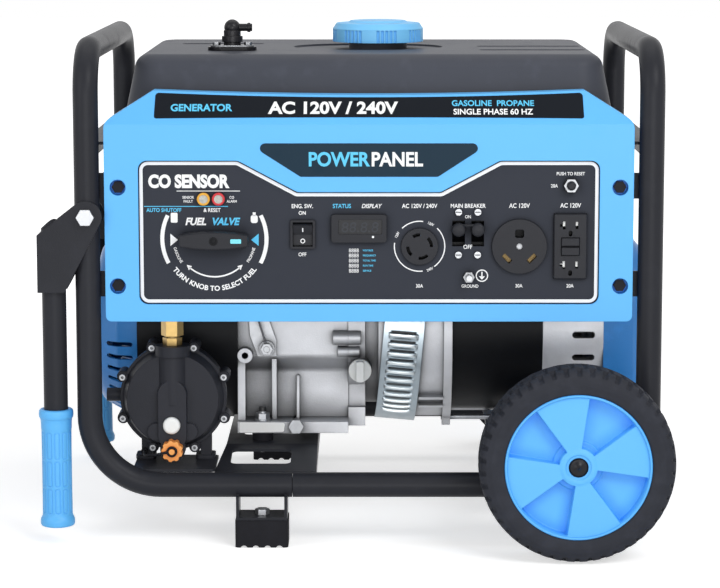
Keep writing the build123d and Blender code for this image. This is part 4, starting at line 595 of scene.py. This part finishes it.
# Panel: blue moulded bezel bolted to the front posts, with a dark printed plate set into it.
# The electrical devices stand through the plate.
dress(blue_plastic, "panel_bezel")
plate_ink = moulded_plastic("plate_ink", (0.034, 0.038, 0.050), 0.46, 0.00003, 0.0, 0.08)
dress(plate_ink, "control_panel")

# Bezel labels: two dark film labels, one along the sloped top and one stepped into
# the dip of the panel, each stuck flat on the moulding with rounded corners.
bezel_front, slope_start, slope_run = -225.0, 430.0, np.array([34.0, 40.0]) / math.hypot(34.0, 40.0)


def band_along(path, width, front, back, closed=False):
    """A flat line of the width along a path in X and Z, as a four-sided section carried along it."""
    path = np.asarray(path, float)
    ahead = np.roll(path, -1, 0) - np.roll(path, 1, 0)
    if not closed:
        ahead[0], ahead[-1] = path[1] - path[0], path[-1] - path[-2]
    ahead /= np.linalg.norm(ahead, axis=1, keepdims=True)
    out = np.column_stack([-ahead[:, 1], ahead[:, 0]]) * width / 2.0
    ring = []
    for shift, depth in ((out, front), (-out, front), (-out, back), (out, back)):
        x, z = (path + shift).T
        ring.append(np.column_stack([x, np.full(len(path), depth), z]))
    points = np.stack(ring, 1)
    faces = grid_faces(len(path), 4, wrap_rows=closed, wrap_columns=True).tolist()
    if not closed:
        last = 4 * (len(path) - 1)
        faces += [[3, 2, 1, 0], [last, last + 1, last + 2, last + 3]]
    return points.reshape(-1, 3), faces


def together(parts):
    """Several meshes as one list of points and one of faces."""
    points, faces, start = [], [], 0
    for some, joined in parts:
        points.append(some)
        faces += [[int(k) + start for k in face] for face in joined]
        start += len(some)
    return np.vstack(points), faces


def laid(flat, base, run):
    """A flat print carried to a sloped plane: X stays, Z becomes the way along the unit run
    (Y, Z) from the base, and the depth in front of Y = 0 becomes the height off it."""
    points, faces = flat
    off = -points[:, 1]
    y = base[0] + points[:, 2] * run[0] - off * run[1]
    z = base[1] + points[:, 2] * run[1] + off * run[0]
    return np.column_stack([points[:, 0], y, z]), faces


def up_slope(flat):
    """X and distance up the sloped band, with a height off it, as points in space."""
    return laid(flat, (bezel_front, slope_start), slope_run)


label_film = moulded_plastic("label_film", (0.004, 0.006, 0.010), 0.34, 0.00002, 0.0, 0.1)
span = np.linspace(-1.0, 1.0, 41)
strip_top = np.column_stack([211.5 * span, 33.2 + 5.6 * span**2])
strip_low = np.column_stack([212.5 * span[::-1], 8.6 - 1.4 * span**2])
ends = [(213.4, 37.6), (214.4, 35.6), (214.8, 9.4), (214.2, 7.9)]
strip = np.vstack([strip_low, [(-x, t) for x, t in ends[::-1]], strip_top, ends])
points, faces = up_slope(prism(strip, -0.25, 0.05))
piece("top_label", points, faces, label_film, "frame", rounded=False)
teal_film = moulded_plastic("teal_film", (0.003, 0.020, 0.038), 0.34, 0.00002, 0.0, 0.12)
dip = rounded([(-121.0, 411.0), (-68.5, 377.5), (69.0, 377.5), (120.5, 411.0)], 5.0)
points, faces = prism(dip, bezel_front - 0.25, bezel_front + 0.05)
piece("dip_label", points, faces, teal_film, "frame", rounded=False)

# Panel print: white and blue screen-printed lines, signs and plain function words,
# a tenth of a millimetre thick on the dark plate.
plate_front = -222.0
ink_front, ink_back = plate_front - 0.12, plate_front + 0.03
dial = np.array([-155.2, 314.6])


def arc(centre, radius, first, last, steps=60):
    """Points on a circle in X and Z, from one angle in degrees to the other."""
    turn = np.radians(np.linspace(first, last, steps))
    return np.asarray(centre) + radius * np.column_stack([np.cos(turn), np.sin(turn)])


def filled_curve(curve):
    """The filled and extruded curve as flat points and faces, and the curve removed."""
    holder = bpy.data.objects.new("outline", curve)
    mesh = bpy.data.meshes.new_from_object(holder)
    flat = np.zeros(len(mesh.vertices) * 3)
    mesh.vertices.foreach_get("co", flat)
    faces = [list(face.vertices) for face in mesh.polygons]
    bpy.data.objects.remove(holder)
    bpy.data.curves.remove(curve)
    bpy.data.meshes.remove(mesh)
    return flat.reshape(-1, 3), faces


def punched(outline, holes, front, back):
    """A plate of the outline between two depths, with every hole cut right through it."""
    curve = bpy.data.curves.new("plate", "CURVE")
    curve.dimensions, curve.fill_mode, curve.extrude = "2D", "BOTH", 0.1
    for loop in (outline, *holes):
        spline = curve.splines.new("POLY")
        spline.points.add(len(loop) - 1)
        weights = np.tile((0.0, 1.0), (len(loop), 1))
        spline.points.foreach_set("co", np.column_stack([loop, weights]).ravel())
        spline.use_cyclic_u = True
    flat, faces = filled_curve(curve)
    depth = np.where(flat[:, 2] > 0.0, front, back)
    return np.column_stack([flat[:, 0], depth, flat[:, 1]]), faces


def lettering(text, height, at, slant=0.0, weight=0.018, curl=0.0, align="CENTER", wide=0.88, depth=None):
    """A line of plain capitals of that height, centred at a place on the plate. With a
    curl, its baseline follows a circle of that radius round `at`, read from inside."""
    curve = bpy.data.curves.new("word", "FONT")
    curve.body, curve.align_x, curve.shear, curve.offset = text, align, slant, weight
    curve.extrude, curve.resolution_u = 0.1, 4
    flat, faces = filled_curve(curve)
    size = height / 0.72
    x, z = flat[:, 0] * size * wide, flat[:, 1] * size - height / 2.0
    y = np.where(flat[:, 2] > 0.0, *(depth or (ink_front, ink_back)))
    if curl:
        turn = np.radians(at[2]) + x / curl
        x, z = (curl - z) * np.cos(turn), (curl - z) * np.sin(turn)
    return np.column_stack([at[0] + x, y, at[1] + z]), faces


def ring_line(centre, radius, width, first=0.0, last=360.0):
    """A printed line of the width along a circle or a part of it."""
    closed = last - first >= 360.0
    path = arc(centre, radius, first, last - (6.0 if closed else 0.0))
    return band_along(path, width, ink_front, ink_back, closed)


def filled(outline):
    """A printed patch of the outline."""
    return prism(outline, ink_front, ink_back)


def line(path, width):
    """A printed line of the width along a path."""
    return band_along(path, width, ink_front, ink_back)


white_ink = moulded_plastic("white_ink", (0.86, 0.87, 0.88), 0.5, 0.00002, 0.0)
blue_ink = moulded_plastic("blue_ink", (0.10, 0.55, 0.85), 0.5, 0.00002, 0.0)
border = [(-228.2, 251.5), (-228.2, 390.7), (-132.2, 390.7), (-72.9, 359.2)]
border += [(-x, z) for x, z in border[::-1]]
white = [band_along(rounded(border, 7.0, 12), 3.3, ink_front, ink_back, closed=True)]
white += [ring_line(dial, 52.3, 4.0, 153.0, 208.0), ring_line(dial, 52.3, 4.0, -28.0, 27.0)]
white += [ring_line(dial, 38.4, 1.5, 229.0, 311.0)]
for tip, back in ((223.0, 230.5), (317.0, 309.5)):
    wing = arc(dial, 41.0, back, back, 1), arc(dial, 35.8, back, back, 1), arc(dial, 38.4, tip, tip, 1)
    white.append(filled(np.vstack(wing)))
white.append(filled([(-199.4, 307.4), (-191.8, 313.6), (-199.4, 319.8)]))
pump = rounded([(-198.8, 331.0), (-192.0, 331.0), (-192.0, 341.0), (-198.8, 341.0)], 1.2, 4)
bottle = rounded([(-118.6, 330.6), (-111.6, 330.6), (-111.6, 338.6), (-118.6, 338.6)], 2.2, 5)
neck = [(-116.6, 338.0), (-113.6, 338.0), (-113.6, 341.4), (-116.6, 341.4)]
white += [filled(pump), filled(bottle), filled(neck)]
round_dial = (*dial, 270.0)
white.append(lettering("TURN KNOB TO SELECT FUEL", 5.0, round_dial, weight=0.03, curl=50.0, wide=1.0))
white.append(lettering("GASOLINE", 3.0, (*dial, 204.0), curl=40.5))
white.append(lettering("PROPANE", 3.0, (*dial, 336.0), curl=40.5))
white.append(lettering("CO SENSOR", 12.6, (-181.0, 373.0), weight=0.05, wide=0.84))
white.append(line([(-192.7, 362.9), (-129.2, 362.9)], 0.7))
white.append(lettering("& RESET", 3.9, (-165.8, 343.8), align="LEFT"))
white.append(lettering("FUEL", 7.2, (-184.5, 332.4), slant=0.25, weight=0.04, align="LEFT", wide=0.95))
for upper, lower, x in (("SENSOR", "FAULT", -181.2), ("CO", "ALARM", -137.5)):
    white += [lettering(upper, 2.6, (x, 356.6)), lettering(lower, 2.6, (x, 352.6))]
twist = np.array([50.8, 307.1])
white += [ring_line(twist, 25.3, 1.1, a, b) for a, b in ((82, 134), (172, 277), (-54, 46))]
for turn, word in ((64.0, "120V"), (153.0, "120V"), (294.0, "240V")):
    spot = arc(twist, 25.4, turn, turn, 1)[0]
    word_points, word_faces = lettering(word, 2.6, (0.0, 0.0))
    tilt = math.radians(turn - 90.0 if turn < 200.0 else turn + 90.0)
    swing = np.array([[math.cos(tilt), math.sin(tilt)], [-math.sin(tilt), math.cos(tilt)]])
    x, z = (word_points[:, [0, 2]] @ swing + spot).T
    white.append((np.column_stack([x, word_points[:, 1], z]), word_faces))
earth = np.array([113.6, 277.3])
white.append(ring_line(earth, 5.7, 1.1))
white.append(line([earth + (0.0, 4.0), earth + (0.0, -1.0)], 1.2))
white.append(filled([earth + (-3.0, -0.6), earth + (0.0, -4.2), earth + (3.0, -0.6)]))
for text, height, x, z in (
    ("ENG. SW.", 4.2, -66.9, 347.8),
    ("ON", 3.8, -66.9, 340.9),
    ("OFF", 3.8, -66.9, 299.0),
    ("AC 120V / 240V", 4.3, 50.7, 348.0),
    ("30A", 3.6, 50.7, 267.0),
    ("MAIN BREAKER", 4.2, 99.2, 348.1),
    ("ON", 3.2, 99.3, 337.0),
    ("OFF", 4.2, 99.2, 306.6),
    ("GROUND", 3.2, 101.6, 266.8),
    ("AC 120V", 4.5, 150.8, 348.3),
    ("30A", 3.6, 150.8, 267.1),
    ("AC 120V", 4.5, 202.1, 348.5),
    ("20A", 3.6, 202.2, 267.1),
    ("PUSH TO RESET", 3.3, 201.8, 380.4),
    ("20A", 3.4, 185.5, 368.2),
):
    white.append(lettering(text, height, (x, z)))
white.append(lettering("DISPLAY", 4.3, (-7.6, 347.9), slant=0.25, align="LEFT"))
legend_words = ("VOLTAGE", "FREQUENCY", "TOTAL TIME", "RUN TIME", "SERVICE")
legend_z = 303.0 - 5.15 * np.arange(len(legend_words))
for z in legend_z:
    white.append(lettering("8888", 4.0, (-20.4, z), weight=0.0, align="LEFT", wide=0.92))
points, faces = together(white)
piece("white_print", points, faces, white_ink, "frame", rounded=False)
azure = [filled([(-110.8, 307.4), (-110.8, 319.8), (-118.4, 313.6)])]
azure.append(lettering("STATUS", 4.3, (-36.4, 347.9), align="LEFT"))
azure.append(line([(-225.5, 347.4), (-141.3, 347.4)], 0.7))
azure.append(lettering("AUTO SHUTOFF", 3.9, (-223.0, 343.8), align="LEFT"))
azure.append(lettering("VALVE", 7.2, (-158.0, 332.4), slant=0.25, weight=0.04, align="LEFT", wide=0.95))
for word, z in zip(legend_words, legend_z):
    azure.append(lettering(word, 1.9, (-6.2, z), align="LEFT"))
points, faces = together(azure)
piece("blue_print", points, faces, blue_ink, "frame", rounded=False)
device_black = moulded_plastic("device_black", (0.022, 0.023, 0.028), 0.32, 0.00005, 0.0005, 0.12)
dress(
    device_black,
    "switchgear_bodies",
    "switch_rocker",
    "selector_knob",
    "twist_lock_receptacle",
    "rv_receptacle",
    "duplex_receptacle",
    "duplex_test_button",
    "duplex_reset_button",
    "breaker_toggle",
    "breaker_reset_button",
)
lens = Finish("lamp_lens")
lens.paint(
    Base_Color=lens.blend(lens.noise(400.0), (0.22, 0.22, 0.19, 1), (0.55, 0.55, 0.50, 1)),
    Roughness=0.12 + lens.noise(300.0) * 0.1,
)
dress(lens, "indicator_lights")

# Lamp bezels: a coloured plastic ring round each clear indicator lens, amber and red.
# Each is snapped into its hole in the plate.
lamp_ring = [(5.9, -226.0), (6.5, -225.4), (6.5, -222.0), (6.3, -222.0), (4.3, -225.2), (4.3, -225.8)]
lamp_ring += [(4.7, -226.0)]
for colour, x, tint in (("amber", -165.8, (0.78, 0.40, 0.04)), ("red", -150.8, (0.62, 0.03, 0.04))):
    points, faces = turned(lamp_ring, (x, 354.9), closed=True)
    tinted = moulded_plastic(f"lamp_{colour}", tint, 0.3)
    piece(f"lamp_ring_{colour}", points, faces, tinted, "frame")

# Display window: smoked plastic let into the meter's frame, with unlit digits showing in it.
# A white dot is printed on the frame below it.
smoke = moulded_plastic("smoked_window", (0.006, 0.007, 0.010), 0.10, 0.0, 0.0, 0.22)
pane = rounded([(-30.4, 319.8), (12.8, 319.8), (12.8, 334.2), (-30.4, 334.2)], 0.9, 4)
points, faces = prism(pane, -225.3, -224.85)
piece("display_window", points, faces, smoke, "frame", rounded=False)
ghost_ink = moulded_plastic("ghost_ink", (0.030, 0.034, 0.042), 0.3, 0.0, 0.0, 0.15)
in_window = (-225.36, -225.28)
points, faces = lettering("88.8.8", 10.6, (-9.4, 327.0), slant=0.1, weight=0.0, wide=1.05, depth=in_window)
piece("display_digits", points, faces, ghost_ink, "frame", rounded=False)
points, faces = prism(arc((4.0, 317.0), 1.2, 0.0, 340.0, 18), -226.12, -225.95)
piece("display_mark", points, faces, white_ink, "frame", rounded=False)

# Engine switch marks: a bar on the upper half of the rocker and a ring on the lower half.
# Both are white paint on the sloped faces and tip with the rocker.
lean, rock = math.radians(12.0), np.array([-219.0, 319.2])
turn_rock = np.array([[math.cos(lean), -math.sin(lean)], [math.sin(lean), math.cos(lean)]])
upper = turn_rock @ (-2.5, 10.6) / math.hypot(2.5, 10.6)
lower = turn_rock @ (2.5, 10.6) / math.hypot(2.5, 10.6)
bar = prism([(-67.1, 3.4), (-65.9, 3.4), (-65.9, 8.0), (-67.1, 8.0)], -0.12, 0.04)
loop = band_along(arc((-66.5, 4.6), 2.0, 0.0, 350.0, 36), 0.9, -0.12, 0.04, closed=True)
marks = [laid(bar, rock + turn_rock @ (-2.5, 0.0), upper)]
marks.append(laid(loop, rock + turn_rock @ (-5.0, -10.6), lower))
points, faces = together(marks)
piece("rocker_marks", points, faces, white_ink, "rocker", rounded=False)

# Selector knob: a blunt moulded bar on a round base, with a pointer mark at one end and the screw that
# holds it on its shaft, in a flat black disc painted as the shade of its sunk recess.
bar_half, bar_front = 34.5, -243.0
reach = np.linspace(-bar_half, bar_half, 31)
bow = 5.6 + 3.3 * (1.0 - (reach / bar_half) ** 2)
bar = np.vstack([np.column_stack([reach, -bow]), np.column_stack([reach[::-1], bow[::-1]])]) + dial
points, faces = together([prism(bar, bar_front, -226.0), turned([(7.5, -226.5), (7.5, -222.4)], dial)])
stood_for = ["selector_knob"]
knob = piece("selector_bar", points, faces, device_black, "selector", stood_for, rounded=False)
soft = knob.modifiers.new("soft_edges", "BEVEL")
soft.width, soft.segments, soft.limit_method, soft.angle_limit = 0.0014, 3, "ANGLE", math.radians(40.0)
pointer = rounded([(17.0, -2.2), (27.8, -2.2), (27.8, 2.2), (17.0, 2.2)], 0.8, 4) + dial
points, faces = prism(pointer, bar_front - 0.15, bar_front + 0.05)
pointer_ink = moulded_plastic("pointer_ink", (0.20, 0.72, 0.85), 0.45, 0.00002, 0.0)
piece("knob_pointer", points, faces, pointer_ink, "selector", rounded=False)
# Painted shade: a flat black disc stands in for the shaded recess round the screw.
recess_shade_disc = prism(arc(dial, 4.4, 0.0, 350.0, 36), bar_front - 0.1, bar_front + 0.05)
screw = turned([(0.4, -243.5), (1.8, -243.45), (2.6, -243.2), (2.7, bar_front)], dial)
points, faces = together([recess_shade_disc, screw])
piece("knob_screw", points, faces, machine_black, "selector", rounded=False)

# Breaker levers: two round moulded knobs, one to a pole, that swing in the breaker body.
# A bar joins them, so that both poles throw together.
knob_profile = [(4.6, -233.6), (6.0, -233.0), (6.8, -231.4), (6.8, -224.0), (6.0, -222.0), (6.0, -213.0)]
left, right = 89.9, 109.1
knobs = [turned(knob_profile, (x, 324.6)) for x in (left, right)]
bar = rounded([(left, 327.6), (right, 327.6), (right, 330.4), (left, 330.4)], 0.8, 4)
points, faces = together([*knobs, prism(bar, -231.4, -227.0)])
stood_for = ["breaker_toggle"]
piece("breaker_knobs", points, faces, device_black, "breaker_lever", stood_for)

# Reset nut: a plated hexagon nut round the push-to-reset button.
# It clamps the small breaker in the plate.
reset = np.array([202.2, 368.7])
points, faces = punched(arc(reset, 7.4, 0.0, 300.0, 6), [arc(reset, 4.6, 0.0, 350.0, 36)], -228.6, -222.0)
piece("reset_nut", points, faces, zinc, "frame", rounded=False)

# Outlets: black mouldings screwed in from behind, with white safety shutters in the duplex
# slots and brass contacts in the round outlet. The twist-lock's four slots lie on a ring.
shutters, contacts = [], []
for z in (331.7, 290.2):
    for x, wide, tall in ((195.6, 2.5, 7.9), (192.4, 3.7, 2.3), (208.4, 2.5, 6.9)):
        half = np.array([wide, tall]) / 2.0
        blade = np.array([(-1, -1), (1, -1), (1, 1), (-1, 1)]) * half + (x, z)
        shutters.append(prism(blade, -224.9, -224.0))
points, faces = together(shutters)
piece("outlet_shutters", points, faces, pale_plastic, "frame", rounded=False)
rv = np.array([151.0, 307.1])
blade = np.array([(-5.2, -2.3), (5.2, -2.3), (5.2, 2.3), (-5.2, 2.3)])
slots = []
for way in (-1.0, 1.0):
    lean = np.array([[1.0, way], [-way, 1.0]]) * math.sqrt(0.5)
    slots.append(blade @ lean + rv + (12.5 * way, -12.0))
    contacts.append(prism((blade * 0.96) @ lean + rv + (12.5 * way, -12.0), -219.5, -213.8))
earth_hole = rounded([(-4.5, 8.8), (4.5, 8.8), (4.5, 17.2), (-4.5, 17.2)], 2.0, 5) + rv
holes = [*slots, earth_hole, arc(rv, 3.3, 0.0, 350.0, 36)]
points, faces = punched(arc(rv, 27.5, 0.0, 356.0, 90), holes, -225.0, -214.0)
piece("round_outlet", points, faces, device_black, "frame", ["rv_receptacle"], rounded=False)
sectors = []
for first, last in ((-2.0, 46.0), (88.0, 124.0), (180.0, 226.0), (266.0, 312.0)):
    sectors.append(np.vstack([arc(twist, 13.4, first, last, 14), arc(twist, 10.3, last, first, 14)]))
twist_edge = arc(twist, 18.4, 0.0, 355.0, 72)
points, faces = punched(twist_edge, sectors, -224.5, -212.0)
stood_for = ["twist_lock_receptacle"]
piece("twist_lock", points, faces, device_black, "frame", stood_for, rounded=False)
backs = [prism(arc(rv, 27.4, 0.0, 356.0, 90), -213.9, -192.0), prism(twist_edge, -211.9, -190.0)]
points, faces = together(backs)
piece("outlet_backs", points, faces, machine_black, "frame", rounded=False)
points, faces = together(contacts)
piece("outlet_contacts", points, faces, brass, "frame", rounded=False)

# Label words: plain function words in white and blue ink on the two film labels.
# They are printed flat on the slope above the panel and on the dip below it.
over_strip, over_dip = (-0.42, -0.2), (bezel_front - 0.42, bezel_front - 0.2)
volts = lettering("AC 120V / 240V", 14.5, (-36.0, 20.5), weight=0.035, wide=0.95, depth=over_strip)
words = [up_slope(volts)]
words.append(up_slope(lettering("SINGLE PHASE 60 HZ", 7.0, (124.0, 15.5), weight=0.02, depth=over_strip)))
words.append(lettering("PANEL", 14.0, (2.0, 395.5), weight=0.03, wide=0.9, align="LEFT", depth=over_dip))
points, faces = together(words)
piece("white_words", points, faces, white_ink, "frame", rounded=False)
words = [up_slope(lettering("GASOLINE  PROPANE", 7.0, (124.0, 26.0), weight=0.02, depth=over_strip))]
words.append(up_slope(lettering("GENERATOR", 8.6, (-168.0, 20.5), weight=0.03, depth=over_strip)))
words.append(lettering("POWER", 14.0, (0.0, 395.5), weight=0.03, wide=0.9, align="RIGHT", depth=over_dip))
points, faces = together(words)
piece("blue_words", points, faces, blue_ink, "frame", rounded=False)

# Studio: a white floor that runs out to a white surround, one broad key light from the
# upper right, a weaker fill from the left, a strip overhead and a low light in front.
floor_size = 12.0
floor_mesh = bpy.data.meshes.new("floor")
corners = np.array([(-1, -1), (1, -1), (1, 1), (-1, 1)]) * floor_size
floor_mesh.from_pydata(np.column_stack([corners, np.full(4, -0.0004)]).tolist(), [], [(0, 1, 2, 3)])
floor = bpy.data.objects.new("floor", floor_mesh)
bpy.context.scene.collection.objects.link(floor)
pale = Finish("floor_white")
kinds = ("Is Camera Ray", "Is Glossy Ray", "Is Transmission Ray")
seen, mirrored, through = [pale.node("ShaderNodeLightPath", {}, {}, kind) for kind in kinds]
reach = (pale.axis(0) ** 2.0 + pale.axis(1) ** 2.0) ** 0.5
glow = pale.node("ShaderNodeMapRange", {}, {0: reach, 1: 0.5, 2: 2.2, 3: 0.58, 4: 1.0})
lit = pale.blend((seen + mirrored + through) * glow, (0, 0, 0, 1), (1, 1, 1, 1))
pale.paint(Base_Color=(0.86, 0.86, 0.86, 1.0), Roughness=0.9, Specular_IOR_Level=0.0)
pale.paint(Emission_Color=lit, Emission_Strength=1.0)
floor_mesh.materials.append(pale.material)

world = bpy.data.worlds.new("studio")
world.use_nodes = True
bpy.context.scene.world = world
sky = world.node_tree.nodes["Background"]
path = world.node_tree.nodes.new("ShaderNodeLightPath")
level = world.node_tree.nodes.new("ShaderNodeMix")
direct = world.node_tree.nodes.new("ShaderNodeMath")
direct.operation = "MAXIMUM"
clear = world.node_tree.nodes.new("ShaderNodeMath")
clear.operation = "MAXIMUM"
world.node_tree.links.new(path.outputs["Is Camera Ray"], direct.inputs[0])
world.node_tree.links.new(path.outputs["Is Glossy Ray"], direct.inputs[1])
world.node_tree.links.new(direct.outputs[0], clear.inputs[0])
world.node_tree.links.new(path.outputs["Is Transmission Ray"], clear.inputs[1])
world.node_tree.links.new(clear.outputs[0], level.inputs[0])
level.inputs[2].default_value = 0.26
level.inputs[3].default_value = 1.0
world.node_tree.links.new(level.outputs[0], sky.inputs["Strength"])
sky.inputs["Color"].default_value = (1, 1, 1, 1)


def softbox(name, place, target, size, power):
    """A square area light at place, turned to face target."""
    lamp = bpy.data.lights.new(name, "AREA")
    lamp.shape = "RECTANGLE"
    lamp.size, lamp.size_y = size
    lamp.energy = power
    holder = bpy.data.objects.new(name, lamp)
    holder.location = place
    aim = np.array(target) - np.array(place)
    pitch = math.atan2(math.hypot(aim[0], aim[1]), -aim[2])
    holder.rotation_euler = (pitch, 0.0, math.atan2(aim[1], aim[0]) - math.pi / 2)
    bpy.context.scene.collection.objects.link(holder)


middle = (frame_mid / 1000.0, 0.0, 0.27)
softbox("key", (1.5, -2.4, 2.3), middle, (1.6, 1.6), 52)
softbox("fill", (-2.2, -2.0, 1.2), middle, (1.6, 2.2), 21)
softbox("overhead", (0.0, 0.3, 2.6), middle, (2.4, 1.6), 15)
softbox("front", (0.3, -3.2, 0.45), middle, (2.0, 0.8), 27)

# Camera: a long lens a little above the panel, tipped down to the middle of the frame.
# Its middle is shifted a few pixels sideways.
lens_px, tilt, picture_px, centre_px, sensor = 2667.0, 8.40, 720.0, 369.0, 36.0
camera = bpy.data.cameras.new("camera")
camera.sensor_fit = "HORIZONTAL"
camera.sensor_width = sensor
camera.lens = lens_px / picture_px * sensor
camera.shift_x = (picture_px / 2.0 - centre_px) / picture_px
view = bpy.data.objects.new("camera", camera)
view.location = (frame_mid / 1000.0, -2.879, 0.651)
view.rotation_euler = (math.radians(90.0 - tilt), 0.0, 0.0)
bpy.context.scene.collection.objects.link(view)
bpy.context.scene.camera = view
bpy.context.scene.view_settings.view_transform = "Standard"
